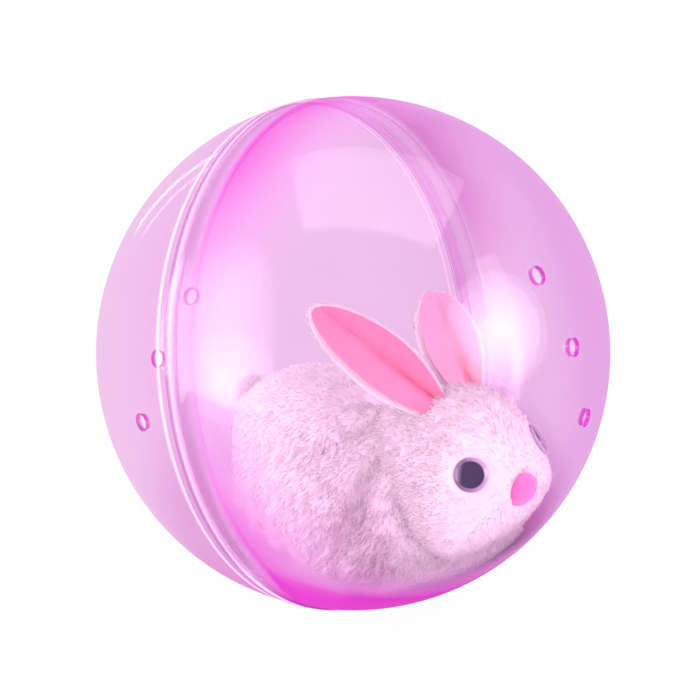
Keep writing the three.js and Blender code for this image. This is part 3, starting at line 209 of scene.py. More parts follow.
def capped(name, grid):
    """A closed skin through a grid whose first and last rings close in their middles."""
    return closed_rings(name, grid, grid[0].mean(0), grid[-1].mean(0))


def lathe(name, profile, place, segments=160):
    """A profile of (radius, height) swept round: x and y are radius times cosine and sine, and z is height.

    place (4x4) then moves it. The profile's two ends lie on the axis, or it closes on itself.
    """
    profile = np.asarray(profile, float)
    turn = circle(segments)
    on_axis = profile[0, 0] < 1e-9
    inner = profile[1:-1] if on_axis else profile
    radius, height = inner[:, None, 0], np.repeat(inner[:, None, 1], segments, 1)
    move = lambda p: p @ place[:3, :3].T + place[:3, 3]
    rings = move(np.stack([radius * np.cos(turn), radius * np.sin(turn), height], -1))
    if on_axis:
        start, end = (move(np.array([0, 0, profile[i, 1]])) for i in (0, -1))
        return closed_rings(name, rings, start, end)
    points = rings.reshape(-1, 3)
    faces = [f % len(points) for f in dome_faces(len(inner) + 1, segments)]
    return add_object(name, points, outward(points, faces))


def basis(z, x_hint=(0, 0, 1), origin=(0, 0, 0)):
    """A 4x4 placing whose third axis is z and whose first axis is as near x_hint as it can be."""
    z = unit(np.asarray(z, float))
    hint = np.asarray(x_hint, float)
    x = unit(hint - z * hint.dot(z))
    m = np.eye(4)
    m[:3, 0], m[:3, 1], m[:3, 2], m[:3, 3] = x, np.cross(z, x), z, origin
    return m


def inside_ball(points, limit):
    """Points beyond the limit radius are drawn in along their radius onto it."""
    r = np.linalg.norm(points, axis=-1, keepdims=True)
    return points * np.minimum(1, limit / np.maximum(r, 1e-9))


def grid_normals(points):
    """Normals of a wrapped grid: the cross product of its differences along columns and rows."""
    return unit(np.cross(np.gradient(points, axis=0), np.roll(points, -1, 1) - np.roll(points, 1, 1)))


def facing_out(points, centre):
    """Normals of a wrapped grid, turned over if they face its centre more than away from it."""
    normals = grid_normals(points)
    return normals if np.einsum("ijk,ijk->ij", normals, points - centre).mean() > 0 else -normals


def along_skin(direction, normals):
    """The part of a direction that lies along the skin, at length 1."""
    return unit(direction - normals * np.sum(normals * direction, -1, keepdims=True))


def scatter(points, normals, count, seed, weight=None):
    """Random places on a wrapped grid, as many per area everywhere.

    A cell is drawn by its area, then a spot in it by two random shares. Gives the places, their normals
    and the direction along the rows.
    """
    rng = np.random.default_rng(seed)
    a, b = points[:-1], points[1:]
    c, d = np.roll(a, -1, 1), np.roll(b, -1, 1)
    area = np.linalg.norm(np.cross(b - a, c - a), axis=-1) + np.linalg.norm(np.cross(b - d, c - d), axis=-1)
    if weight is not None:
        area = area * weight[:-1]
    pick = rng.choice(area.size, count, p=(area / area.sum()).ravel())
    row, col = np.unravel_index(pick, area.shape)
    nxt = (col + 1) % points.shape[1]
    u, v = rng.random((2, count, 1))

    def blended(grid):
        upper = (1 - v) * grid[row, col] + v * grid[row, nxt]
        lower = (1 - v) * grid[row + 1, col] + v * grid[row + 1, nxt]
        return (1 - u) * upper + u * lower

    return blended(points), unit(blended(normals)), unit(b - a)[row, col]


FUR_LIMIT = 60.2  # radius that no fur passes, inside the ball's wall
ROOT_DEPTH = 0.25  # how deep a tuft's foot sits
STRAY = 0.15  # spread of the chance in a tuft's way
EAR_TUFTS, TAIL_TUFTS = 2600, 2400
DROOP = np.array([0, 0, -0.25])  # pull of its weight on a tuft's tip


def tufts(name, roots, normals, lean, length, width, seed):
    """Short tapered tufts: three-sided spikes of two stages that start on the skin, lean over and bend down.

    A stage's end is its start plus about half the length along a mix of normal, lean and a little chance.
    """
    rng = np.random.default_rng(seed)
    count = len(roots)
    length = np.broadcast_to(np.asarray(length, float), count)[:, None] * rng.uniform(0.7, 1.25, (count, 1))
    stray = rng.normal(0, STRAY, (count, 3))
    first = unit(normals * 0.6 + lean * 0.75 + stray)
    second = unit(normals * 0.2 + lean * 1.0 + stray + DROOP)
    start = roots - normals * ROOT_DEPTH
    middle = inside_ball(start + first * length * 0.5, FUR_LIMIT)
    tip = inside_ball(middle + second * length * 0.6, FUR_LIMIT)
    side = unit(np.cross(first, rng.normal(0, 1, (count, 3))))
    other = np.cross(first, side)
    turn = circle(3)[:, None]
    ring = (side[:, None] * np.cos(turn) + other[:, None] * np.sin(turn)) * (width / 2)
    points = np.concatenate([start[:, None] + ring, middle[:, None] + ring * 0.8, tip[:, None]], 1)
    base = (np.arange(count) * 7)[:, None]
    k = np.arange(3)
    n = (k + 1) % 3
    quads = (base[:, :, None] + np.stack([k, n, n + 3, k + 3], -1)[None]).reshape(-1, 4)
    tips = (base[:, :, None] + np.stack([k + 3, n + 3, np.full(3, 6)], -1)[None]).reshape(-1, 3)
    feet = (base + np.array([[2, 1, 0]])).reshape(-1, 3)
    return add_object(name, points.reshape(-1, 3), [quads, tips, feet])


def noise_waves(points, seed, scale):
    """Smooth bumps: five sine waves along random directions, and five twice as fine and half as high."""
    rng = np.random.default_rng(seed)
    total = np.zeros(points.shape[:-1])
    for octave in range(2):
        for _ in range(5):
            direction = unit(rng.normal(0, 1, 3)) / scale * 2**octave
            total += np.sin(points @ direction * 2 * np.pi + rng.uniform(0, 6.28)) / 5 / 2**octave
    return total


def finish_piece(obj, material, body, slot, *nodes):
    """Gives a piece its material and its body, and hides the CAD nodes that it stands for; slot is not used.
    """
    obj.data.materials.clear()
    obj.data.materials.append(material)
    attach(obj, body)
    if nodes:
        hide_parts(*nodes)
    return obj


# ---------------------------------------------------------------- shader maths


class Value:
    """A shader socket that takes part in Python sums: each operator adds a Math node."""

    def __init__(self, shader, socket):
        self.shader, self.socket = shader, socket

    def maths(self, operation, *others):
        return self.shader.node("ShaderNodeMath", {"operation": operation}, dict(enumerate([self, *others])))

    def __add__(self, other):
        return self.maths("ADD", other)

    def __sub__(self, other):
        return self.maths("SUBTRACT", other)

    def __mul__(self, other):
        return self.maths("MULTIPLY", other)

    def __pow__(self, other):
        return self.maths("POWER", other)

    def __rsub__(self, other):
        return self.shader.node("ShaderNodeMath", {"operation": "SUBTRACT"}, {0: other, 1: self})

    __radd__ = __add__
    __rmul__ = __mul__

    def smooth(self, low, high):
        """0 below low, 1 above high, and a smooth step between."""
        sockets = {"Value": self, "From Min": low, "From Max": high}
        return self.shader.node("ShaderNodeMapRange", {"interpolation_type": "SMOOTHSTEP"}, sockets)

    def absolute(self):
        return self.maths("ABSOLUTE")

    def clamp(self):
        return self.shader.node("ShaderNodeClamp", {}, {0: self})


class Shader:
    """Makes the nodes of one material, or of the world."""

    def __init__(self, name, holder=None):
        self.holder = holder or bpy.data.materials.new(name)
        self.holder.use_nodes = True
        self.tree = self.holder.node_tree
        self.tree.nodes.clear()

    def feed(self, socket, value):
        """Links a value to a socket, or writes it there."""
        if isinstance(value, Value):
            self.tree.links.new(value.socket, socket)
        else:
            socket.default_value = value

    def node(self, kind, settings, sockets, out=0):
        """A node of a type: its settings are set first, then its sockets are fed; gives one output."""
        made = self.tree.nodes.new(kind)
        for key, value in settings.items():
            setattr(made, key, value)
        for key, value in sockets.items():
            self.feed(made.inputs[key], value)
        return Value(self, made.outputs[out])

    def place(self):
        """Object coordinates, in metres."""
        return self.node("ShaderNodeTexCoord", {}, {}, "Object")

    def along(self, direction):
        """The distance along a direction from the ball's centre, in millimetres."""
        sockets = {0: self.place(), 1: [d / MM for d in direction]}
        return self.node("ShaderNodeVectorMath", {"operation": "DOT_PRODUCT"}, sockets, "Value")

    def away(self, centre):
        """The distance from a centre given in millimetres, in millimetres."""
        sockets = {0: self.place(), 1: [c * MM for c in centre]}
        return self.node("ShaderNodeVectorMath", {"operation": "DISTANCE"}, sockets, "Value") * 1000.0

    def noise(self, scale, detail=3.0):
        """Noise from 0 to 1, with this many bumps to the metre."""
        sockets = {"Vector": self.place(), "Scale": scale, "Detail": detail}
        return self.node("ShaderNodeTexNoise", {}, sockets, "Fac")

    def mix(self, share, first, second):
        """A colour between first and second."""
        made = self.tree.nodes.new("ShaderNodeMix")
        made.data_type = "RGBA"
        self.feed(made.inputs[0], share)
        for socket, value in ((made.inputs[6], first), (made.inputs[7], second)):
            self.feed(socket, value if isinstance(value, Value) else [*value, 1.0])
        return Value(self, made.outputs[2])

    def bump(self, height, strength, distance):
        """A normal bent by a height in shares of distance (metres)."""
        return self.node("ShaderNodeBump", {}, {"Height": height, "Strength": strength, "Distance": distance})

    def schlick(self, least, most, **normal):
        """The share of light that a clear skin reflects.

        It is least straight on and most at a grazing look, and rises with the sixth power.
        """
        facing = self.node("ShaderNodeLayerWeight", {}, {"Blend": 0.5, **normal}, "Facing")
        return least + (most - least) * facing**6.0

    def beside_light(self):
        """1 for a ray from the camera, a reflection or a refraction, and 0 for light on the object."""
        camera, glossy, through = (
            self.node("ShaderNodeLightPath", {}, {}, f"Is {kind} Ray")
            for kind in ("Camera", "Glossy", "Transmission")
        )
        return (camera + glossy + through).clamp()

    def principled(self, **sockets):
        """A Principled shader; a plain three-part colour gets its fourth part here."""
        values = {}
        for key, value in sockets.items():
            values[key.replace("_", " ")] = [*value, 1.0] if isinstance(value, tuple) else value
        return self.node("ShaderNodeBsdfPrincipled", {}, values)

    def see_through(self, colour):
        """A Transparent shader of one constant colour."""
        return self.node("ShaderNodeBsdfTransparent", {}, {"Color": [*colour, 1.0]})

    def mirror(self, roughness, **normal):
        """The gloss that lies on a clear skin."""
        return self.principled(Base_Color=(1.0, 1.0, 1.0), Metallic=1.0, Roughness=roughness, **normal)

    def layered(self, share, below, above):
        """A Mix Shader."""
        return self.node("ShaderNodeMixShader", {}, {0: share, 1: below, 2: above})

    def done(self, surface, output="ShaderNodeOutputMaterial"):
        self.feed(self.tree.nodes.new(output).inputs["Surface"], surface)
        return self.holder


# ---------------------------------------------------------------- materials


def ball_axes(ball):
    """The ball's axis and two directions across it: up the row, and level."""
    flat = math.cos(ball.rise)
    steep = math.sin(ball.rise)
    axis = np.array([flat * math.cos(ball.yaw), flat * math.sin(ball.yaw), steep])
    up = np.array([-steep * math.cos(ball.yaw), -steep * math.sin(ball.yaw), flat])
    return axis, up, np.cross(up, axis)


def vent_ways(ball, front):
    """The directions of a half's vents: its pole, and the vent spread to both sides of it along the row."""
    axis, up, level = ball_axes(ball)
    lean = ball.front_lean if front else ball.rear_lean
    row = (up if front else -up) * math.cos(lean) - level * math.sin(lean)
    pole = axis if front else -axis
    return [pole * math.cos(step * ball.spread) + row * math.sin(step * ball.spread) for step in (-1, 0, 1)]


RIPPLE = (60.0, 0.03, 0.0004)  # bumps to the metre, strength and height of the moulding's waves
PAINTED_RIM_HIGHLIGHT = (0.92, 0.72, 0.9)  # painted highlight on the lapped rims, seen edge on, where their edges would catch the light
CAMERA_UP_WAY = (-0.315, 0.327, 0.891)  # the camera's up direction: near the seam the dye is painted weakest across it, painted light where glare lies on the band


def clear_plastic(name, ball, front):
    """Clear stained plastic, by place.

    Below is what it lets through: a tint, and a lilac stain mixed with it by share; the stain grows towards
    +Y, away from the camera, as painted shade that darkens the far limb. Over that lies dye that scatters:
    near the seam, at the underside and round each vent, with a painted highlight line on each lapped rim.
    Near the seam the dye is painted half as strong at the middle height seen from the camera, painted light
    where glare washes over the band.
    Both act on the outer skin alone. On top is the gloss, by Schlick. Lengths are in millimetres.
    """
    s = Shader(name)
    height = s.along(ball_axes(ball)[0])
    level = s.along((0.0, 0.0, 1.0))
    # share towards +Y, away from the camera: the lilac stain grows with it, painted shade that darkens the
    # far limb
    left = s.along((0.0, 1.0, 0.0)).smooth(-8.0, 28.0)
    cloud = s.noise(28.0, 2.0) * 8.0
    if front:
        past_seam = height.smooth(-3.0, 1.5)
        fading = 1.0 - (height + cloud - level.absolute() * 0.12).smooth(-6.0, 29.0)
        # away from the camera's middle height; the dye near the seam is halved there, painted light where
        # glare washes the band
        tall = s.along(CAMERA_UP_WAY).absolute().smooth(12.0, 45.0)
        near_rim = past_seam * fading * (0.5 + tall * 0.5)
        stain = 0.13 + left * height.smooth(0.0, 35.0) * 0.22
        # a narrow line along the lapped rim: a painted highlight, pale and partly opaque, where the edge
        # would catch the light
        line = 1.0 - (height + 6.2).absolute().smooth(0.1, 1.3)
        density = 0.012 + near_rim * 0.48
    else:
        near_rim = (height + cloud).smooth(-30.0, -2.0)
        stain = 0.15 + left * 0.06
        # a narrow line along the lapped rim: a painted highlight, pale and partly opaque, where the edge
        # would catch the light
        line = 1.0 - (height + 10.4).absolute().smooth(0.0, 1.2)
        density = 0.02 + near_rim * 0.04
    underside = 1.0 - level.smooth(-48.0, -27.5)
    rings = 0.0
    for way in vent_ways(ball, front):
        edge = s.away(way * (ball.radius - ball.wall / 2) / MM) - ball.vent / MM
        rings = 1.0 - edge.absolute().smooth(0.2, 0.75) + rings
    density = (density + underside * (0.64 if front else 0.14) + rings * 0.65 + line * 0.17).clamp()
    # the hue: dye between lilac and magenta, with the painted rim highlight over it
    hue = s.mix(line, s.mix((near_rim + underside + rings).clamp(), ball.lilac, ball.dye), PAINTED_RIM_HIGHLIGHT)
    skin = s.away((0.0, 0.0, 0.0)).smooth(60.9, 61.9)
    waves, strength, distance = RIPPLE
    ripple = s.bump(s.noise(waves, 2.0), strength, distance)
    dyed = s.principled(Base_Color=hue, Roughness=0.5, Specular_IOR_Level=0.0)
    stained = s.layered(stain * 2.0, s.see_through(ball.tint), s.see_through(ball.stain))
    see = s.layered(skin, s.see_through((1.0, 1.0, 1.0)), stained)
    tinted = s.layered(density * (2.0 - density) * skin, see, dyed)
    return s.done(s.layered(s.schlick(0.012, 0.09, Normal=ripple), tinted, s.mirror(0.07, Normal=ripple)))


def fur_material(name, plush):
    """White pile, with slow drifts and a fine grain of shade."""
    s = Shader(name)
    grain = s.noise(90.0) * 0.7 + s.noise(900.0, 2.0) * 0.5 - 0.25
    hue = s.mix(grain.clamp(), plush.fur_low, plush.fur)
    return s.done(
        s.principled(
            Base_Color=hue, Roughness=0.9, Sheen_Weight=0.4, Sheen_Roughness=0.6, Specular_IOR_Level=0.2
        )
    )


def backing_material(name, plush):
    """The knitted backing among the tufts, a shade darker, with a fine weave in its bump."""
    s = Shader(name)
    hue = s.mix(s.noise(120.0), plush.fur_low, plush.fur)
    weave = s.bump(s.noise(1500.0, 4.0), 0.6, 0.0006)
    return s.done(
        s.principled(Base_Color=hue, Roughness=0.95, Normal=weave, Sheen_Weight=0.3, Specular_IOR_Level=0.15)
    )


def satin_material(name, plush, pale=0.0):
    """Pink satin, paled by a share into a lighter copy that is painted light: a fine twill in the bump and
    soft drifts of tone.
    """
    s = Shader(name)
    # the satin paled by the share: a lit copy of the same satin, painted light
    light = [c + (1 - c) * pale for c in plush.satin]
    deep = [c * f for c, f in zip(light, (0.95, 0.72, 0.85))]
    hue = s.mix(s.noise(110.0), deep, light)
    bands = {"wave_type": "BANDS", "bands_direction": "DIAGONAL"}
    sockets = {"Vector": s.place(), "Scale": 900.0, "Distortion": 1.0}
    twill = s.node("ShaderNodeTexWave", bands, sockets, "Fac")
    weave = s.bump(twill, 0.25, 0.0002)
    return s.done(
        s.principled(Base_Color=hue, Roughness=0.55, Normal=weave, Sheen_Weight=0.3, Specular_IOR_Level=0.35)
    )


def flock_material(name, hue):
    """Short flock: a dense, fine-grained bump and slightly mottled colour."""
    s = Shader(name)
    tone = s.mix(s.noise(700.0), [c * 0.82 for c in hue], hue)
    nap = s.bump(s.noise(2600.0, 2.0), 0.7, 0.0003)
    return s.done(s.principled(Base_Color=tone, Roughness=0.9, Normal=nap, Sheen_Weight=0.5))


def eye_clear_material(name):
    """The clear cap of the eye: see-through but for its gloss by Schlick."""
    s = Shader(name)
    return s.done(s.layered(s.schlick(0.015, 0.6), s.see_through((0.97, 0.96, 0.97)), s.mirror(0.05)))


def iris_material(name, plush, centre, side):
    """The eye's disc, by distance from its centre: the pupil, then a ring with painted light and shade, pale
    towards the nose and darker away from it.
    """
    s = Shader(name)
    edge = s.away(centre).smooth(3.05, 3.4)
    forward = (0.72, 0.69 * side, 0.0)
    middle = sum(c * f for c, f in zip(centre, forward))
    # painted light on the ring: pale towards the nose, and painted shade, the ring at 0.3 of its colour, away
    # from it
    pale = (s.along(forward) - middle + s.noise(300.0)).smooth(-2.5, 4.5)
    hue = s.mix(edge, plush.pupil, s.mix(pale, [c * 0.3 for c in plush.iris], plush.iris))
    return s.done(s.principled(Base_Color=hue, Roughness=0.35, Specular_IOR_Level=0.2))


def moulded_plastic(name, hue, rough=0.42, wear=0.12):
    """Moulded plastic: a faint drift of shade, fine spark-eroded grain, and roughness that wanders."""
    s = Shader(name)
    tone = s.mix(s.noise(140.0), [c * (1 - wear) for c in hue], hue)
    grain = s.bump(s.noise(3000.0, 2.0), 0.18, 0.0001)
    return s.done(s.principled(Base_Color=tone, Roughness=rough + s.noise(260.0, 2.0) * 0.12, Normal=grain))


def bare_metal(name, hue, rough=0.28, brush=(1.0, 1.0, 12.0)):
    """Bare metal: fine drawing lines from stretched noise, in roughness and bump."""
    s = Shader(name)
    stretched = s.node("ShaderNodeMapping", {}, {"Vector": s.place(), "Scale": brush})
    lines = s.node("ShaderNodeTexNoise", {}, {"Vector": stretched, "Scale": 700.0, "Detail": 3.0}, "Fac")
    tone = s.mix(s.noise(200.0), [c * 0.82 for c in hue], hue)
    drawn = s.bump(lines, 0.12, 0.0001)
    return s.done(s.principled(Base_Color=tone, Metallic=1.0, Roughness=rough + lines * 0.2, Normal=drawn))


# ---------------------------------------------------------------- shapes


def sphere_arc(radius, low, high, steps):
    """Profile points (radius, height) on a sphere between two heights, at even angles."""
    angles = np.linspace(math.asin(low / radius), math.asin(high / radius), steps)
    arc = np.stack([radius * np.cos(angles), radius * np.sin(angles)], -1)
    arc[np.abs(arc[:, 0]) < 1e-6, 0] = 0
    return arc


def shell_profile(ball, front):
    """Half-shell profile from pole to pole: the inner sphere, the lap's step, and the outer sphere.

    The band and the rims have small bevels of 0.1 to 0.2 mm.
    """
    r, wall, lap = ball.radius / MM, ball.wall / MM, ball.lap / MM
    inner, gap = r - wall, ball.lap_gap / MM
    tongue = inner + ball.tongue / MM
    if front:
        band, width = r + ball.band_rise / MM, ball.band_width / MM
        return np.concatenate([
            sphere_arc(inner, inner, 0.15, 40),
            [[inner + 0.2, 0.0], [tongue + gap - 0.15, 0.0], [tongue + gap, -0.15]],
            [[tongue + gap, -lap + 0.15], [tongue + gap + 0.1, -lap]],
            [[math.sqrt(band**2 - lap**2) - 0.2, -lap]],
            sphere_arc(band, -lap + 0.2, -lap + width - 0.15, 8),
            sphere_arc(r + 0.1, -lap + width, -lap + width + 0.1, 2),
            sphere_arc(r, -lap + width + 0.4, r, 44),
        ])
    shoulder = lap + gap
    return np.concatenate([
        sphere_arc(inner, inner, gap + 0.1, 40),
        [[inner + 0.15, gap], [tongue - 0.15, gap], [tongue, gap + 0.15]],
        [[tongue, shoulder - 0.1], [tongue + 0.1, shoulder]],
        [[math.sqrt(r**2 - shoulder**2) - 0.2, shoulder]],
        sphere_arc(r, shoulder + 0.2, r, 44),
    ])


def vent_cutters(ball, front):
    """One closed bar for each vent of the row, from 5 mm inside the ball's skin to 3 mm outside it."""
    r, reach = ball.vent / MM, ball.radius / MM
    bar = [(0, reach - 5), (r, reach - 5), (r, reach + 3), (0, reach + 3)]
    return [lathe("vent_bar", bar, basis(way), 32) for way in vent_ways(ball, front)]


def cut(obj, cutters):
    """Takes each cutter out of the object with an exact Boolean, and removes the cutters."""
    for cutter in cutters:
        step = obj.modifiers.new("cut", "BOOLEAN")
        step.operation, step.solver, step.object = "DIFFERENCE", "EXACT", cutter
    graph = bpy.context.evaluated_depsgraph_get()
    mesh = bpy.data.meshes.new_from_object(obj.evaluated_get(graph))
    obj.modifiers.clear()
    old, obj.data = obj.data, mesh
    bpy.data.meshes.remove(old)
    for cutter in cutters:
        data = cutter.data
        bpy.data.objects.remove(cutter)
        bpy.data.meshes.remove(data)


BODY_MIDDLE = np.array([8.0, 0.0, -34.0])
BODY_FRONT, BODY_REAR, BODY_SIDE, BODY_RISE = 38.0, 43.0, 22.0, 24.0  # half sizes from its middle
BODY_ROUND = 0.66  # power of its sine and cosine: below 1 is fuller than an ellipse
CROWN_ROWS, SKIRT_ROWS = 0.72, 0.28  # shares of its rows above and below the widest line
HEM, HEM_WAVE = -49.0, 0.7
FOLDS, FOLD_HEIGHT = 9, 1.7  # folds to a full turn round the neck, and half their height
BACKING = 2.0  # thickness of the cloth
CLOTH_LIMIT, HEAD_LIMIT = 59.4, 58.0  # radii that the cloth and the head's form don't pass
NECK = np.array([30.0, 13.0, -4.0])  # the body's folds run from here, on each side
HEAD_CENTRE = np.array([35.0, 0.0, -20.0])
HEAD_HALF = np.array([24.0, 19.0, 21.0])
NOSE = np.array([55.57, 0, -16.6])
NOSE_HALF, NOSE_SEAT = (4.3, 4.2, 2.8), 57.2  # its half sizes, and how far out it sits
EYE_PLACE = np.array([14.1, 11.8, 10.2])  # the left eye's, from the head's centre
EYE_FACING = np.array([0.596, 0.632, 0.495])
EYE_CAP = (4.15, 1.9, 0.2), (4.45, 2.2, 0.2)  # radius, top and rim's height of its two skins
EYE_DISC, EYE_DISC_FOOT = (4.05, 0.8, 0.1), ((0, -0.3), (3.9, -0.3))
TAIL_CENTRE, TAIL_RADIUS = np.array([-36.0, 0, -24.0]), 3.8
HEAD_BUMPS = (  # centre, spread and height of each: brow, seat of the nose, two cheeks and poll
    ((51, 0, -5.5), 7, -2.2),
    ((58.5, 0, -16.7), 6.5, -5.5),
    ((46, 15, -26), 10, 1.2),
    ((46, -15, -26), 10, 1.2),
    ((41, 0, 1), 10, 1.2),
)


def superellipse(c, s, long, wide, power):
    """The radius at which a superellipse of these half sizes lies, along a cosine and a sine."""
    return (np.abs(c / long) ** power + np.abs(s / wide) ** power) ** (-1 / power)


def body_grid(around, rows, shrink=0.0):
    """The body as a dome whose plan is a superellipse, squarer in front and rounder behind.

    From the crown down, radius and height follow a sine and a cosine to the power 0.66. Below the widest
    line it hangs straight to the hem, which waves. Rounded folds with narrow valleys run from the neck on
    each side: one less twice the square of a sine's share, fading with the distance from it.
    """
    turn = circle(around)[None]
    share = np.linspace(0, 1, rows + 1)[1:, None]
    drop = np.minimum(share / CROWN_ROWS, 1) * np.pi / 2
    skirt = np.clip((share - CROWN_ROWS) / SKIRT_ROWS, 0, 1)
    c, s = np.cos(turn), np.sin(turn)
    front = superellipse(c, s, BODY_FRONT - shrink, BODY_SIDE - shrink, 4)
    rear = superellipse(c, s, BODY_REAR - shrink, BODY_SIDE - shrink, 2.2)
    out = np.where(c > 0, front, rear) * np.sin(drop) ** BODY_ROUND
    high = (BODY_RISE - shrink) * np.cos(drop) ** BODY_ROUND * np.ones_like(turn)
    z = BODY_MIDDLE[2] + high - skirt * (BODY_MIDDLE[2] - HEM)
    points = np.stack([BODY_MIDDLE[0] + out * c, out * s, z], -1)
    away = points - np.array([1, 0, 1]) * NECK - np.array([0, 1, 0]) * NECK * np.sign(points[..., 1:2])
    heading = np.arctan2(-away[..., 2], -away[..., 0])
    far = np.linalg.norm(away, axis=-1)
    fold = 1 - 2 * (0.5 - 0.5 * np.sin(heading * FOLDS + 0.8 * np.sin(far * 0.16))) ** 2
    fold = fold * np.exp(-((far - 22) / 20) ** 2)
    wave = skirt * np.sin(turn * 17 + 1.3 * np.sin(turn * 5)) * HEM_WAVE
    relief = fold * FOLD_HEIGHT + wave + noise_waves(points, 3, 34) * 0.8
    from_crown = np.clip(share * 6, 0, 1)[..., None]
    points = points + grid_normals(points) * relief[..., None] * from_crown
    return inside_ball(points, CLOTH_LIMIT - shrink)


def dome_shell(name, outer, inner):
    """A cloth dome of two skins joined round the hem, with a pole on each."""
    rows, columns = outer.shape[:2]
    n = rows * columns
    poles = [outer[0].mean(0), inner[0].mean(0)]
    points = np.concatenate([outer.reshape(-1, 3), inner.reshape(-1, 3), poles])
    faces = dome_faces(rows, columns, top=2 * n)
    faces += dome_faces(rows, columns, first=n, top=2 * n + 1, flip=True)
    k = np.arange(columns)
    nxt = (k + 1) % columns
    last = (rows - 1) * columns
    hem = np.stack([last + k, n + last + k, n + last + nxt, last + nxt], -1)
    return add_object(name, points, faces + [hem])


def head_grid(around, rows):
    """The head as an egg about the X axis: the half sizes times a unit direction.

    Each bump moves the skin along its normal by its height times exp(-(distance / spread) squared).
    """
    y, z, x = sphere_parts(rows + 2, around)
    way = np.stack([-x, y, z], -1)
    points = HEAD_CENTRE + way * HEAD_HALF
    radial = 0
    for centre, spread, height in HEAD_BUMPS:
        distance = np.linalg.norm(points - np.array(centre), axis=-1)
        radial = radial + height * np.exp(-(distance / spread) ** 2)
    radial = radial + noise_waves(points, 5, 22) * 0.35
    return inside_ball(points + unit(way / HEAD_HALF) * radial[..., None], HEAD_LIMIT)


EAR_ROWS, EAR_AROUND = 48, 60
EAR_CREASE, EAR_CUP = 3.4, 2.2  # depth of an ear's lengthwise crease, and rise of its edges
EARS = {  # root, tip and the way that the lining faces
    "right": ((33.5, -5, -1.5), (3.3, -18, 19.7), (0.5, -0.62, 0.6)),
    "left": ((33, 5.5, -2), (7.8, 19, 12.5), (0.17, -0.45, 0.87)),
}


def leaf_grid(side, half, thick, lift, start, end, shift=0.0):
    """An ear from root to tip: its width grows as a sine and rounds off to the tip as a superellipse.

    Its section is a flat oval, cupped by the square of the offset, with a crease lengthwise that is
    deepest near the root. start and end are shares of its length, and shift is its middle's offset.
    """
    root, tip, facing = (np.asarray(v, float) for v in EARS[side])
    run = tip - root
    forward = unit(run)
    up = unit(facing - forward * facing.dot(forward))
    share = (1 - (1 - (np.arange(EAR_ROWS) + 0.5) / EAR_ROWS) ** 1.6)[:, None]
    s = start + (end - start) * share
    turn = circle(EAR_AROUND)[None]
    grow = 0.4 + 0.6 * np.sin(np.pi / 2 * np.clip(share / 0.45, 0, 1)) ** 0.9
    width = half * grow * (1 - np.clip((share - 0.42) / 0.58, 0, 1) ** 2.1) ** 0.55
    swell = thick * (0.5 + 0.5 * np.sin(np.pi * s))
    y = width * np.cos(turn) + shift * np.sin(np.pi * share)
    crease = np.exp(-np.abs(y + 0.24 * half) / 1.1) * np.clip(1.1 - s, 0, 1) ** 0.8
    cup = EAR_CUP * (y / half) ** 2 - EAR_CREASE * crease
    z = lift + 3 * s * (1 - s) + cup + swell * np.sin(turn)
    x = np.linalg.norm(run) * s * np.ones_like(turn)
    points = root + x[..., None] * forward + y[..., None] * np.cross(up, forward) + z[..., None] * up
    return points, forward, up


# ---------------------------------------------------------------- operators


class ShellOperator:
    """Shared work of the two half shells."""

    def build(self, context, half, front):
        ball = context.scene.toy_ball
        axis = ball_axes(ball)[0]
        shell = lathe(f"{half}_half_clear", shell_profile(ball, front), basis(axis if front else -axis), 192)
        cut(shell, vent_cutters(ball, front))
        shell.data.polygons.foreach_set("use_smooth", np.full(len(shell.data.polygons), True))
        shell.data.set_sharp_from_angle(angle=math.radians(28))
        plastic = clear_plastic(f"{half}_clear_plastic", ball, front)
        node = f"{half}_half_shell"
        finish_piece(shell, plastic, f"{half}_half", SLOT_OF[node], node)
        return {"FINISHED"}


class TOY_OT_front_half(ShellOperator, bpy.types.Operator):
    """Makes the magenta front half of the ball"""

    bl_idname = "toy.front_half"
    bl_label = "Front Half"

    def execute(self, context):
        return self.build(context, "front", True)


class TOY_OT_rear_half(ShellOperator, bpy.types.Operator):
    """Makes the pale rear half of the ball"""

    bl_idname = "toy.rear_half"
    bl_label = "Rear Half"

    def execute(self, context):
        return self.build(context, "rear", False)


class TOY_OT_body(bpy.types.Operator):
    """Makes the plush body: a cloth dome with folds, and its fur"""

    bl_idname = "toy.body"
    bl_label = "Plush Body"

    def execute(self, context):
        plush = context.scene.toy_plush
        outer = body_grid(220, 110)
        inner = body_grid(220, 110, BACKING)
        cloth = dome_shell("body_cloth", outer, inner)
        finish_piece(cloth, backing_material("body_backing", plush), CART, "plush", "body_plush")
        roots, out, down = scatter(outer, facing_out(outer, BODY_MIDDLE), plush.body_tufts, 11)
        lean = along_skin(unit(np.array([-0.6, 0, -0.5]) + 0.6 * down), out)
        fur = tufts("body_fur", roots, out, lean, plush.pile / MM, plush.hair / MM, 12)
        finish_piece(fur, fur_material("body_pile", plush), CART, "plush")
        return {"FINISHED"}


class TOY_OT_head(bpy.types.Operator):
    """Makes the plush head: a stuffed form and its fur"""

    bl_idname = "toy.head"
    bl_label = "Plush Head"

    def execute(self, context):
        plush = context.scene.toy_plush
        grid = head_grid(160, 90)
        form = capped("head_form", grid)
        finish_piece(form, backing_material("head_backing", plush), CART, "plush", "head_plush")
        roots, out, _ = scatter(grid, facing_out(grid, HEAD_CENTRE), plush.head_tufts, 21)
        bald = (((48.5, -11.8, -10.0), 4.6), ((48.5, 11.8, -10.0), 4.6), ((55.6, 0, -16.6), 4.9))
        for centre, reach in bald:  # no fur on the eyes and the nose
            keep = np.linalg.norm(roots - np.array(centre), axis=1) > reach
            roots, out = roots[keep], out[keep]
        lean = along_skin(np.array([-1.0, 0, -0.35]), out)
        length = plush.pile / MM * np.clip((59 - roots[:, 0]) / 18, 0.45, 1)
        fur = tufts("head_fur", roots, out, lean, length, plush.hair / MM, 22)
        finish_piece(fur, fur_material("head_pile", plush), CART, "plush")
        return {"FINISHED"}


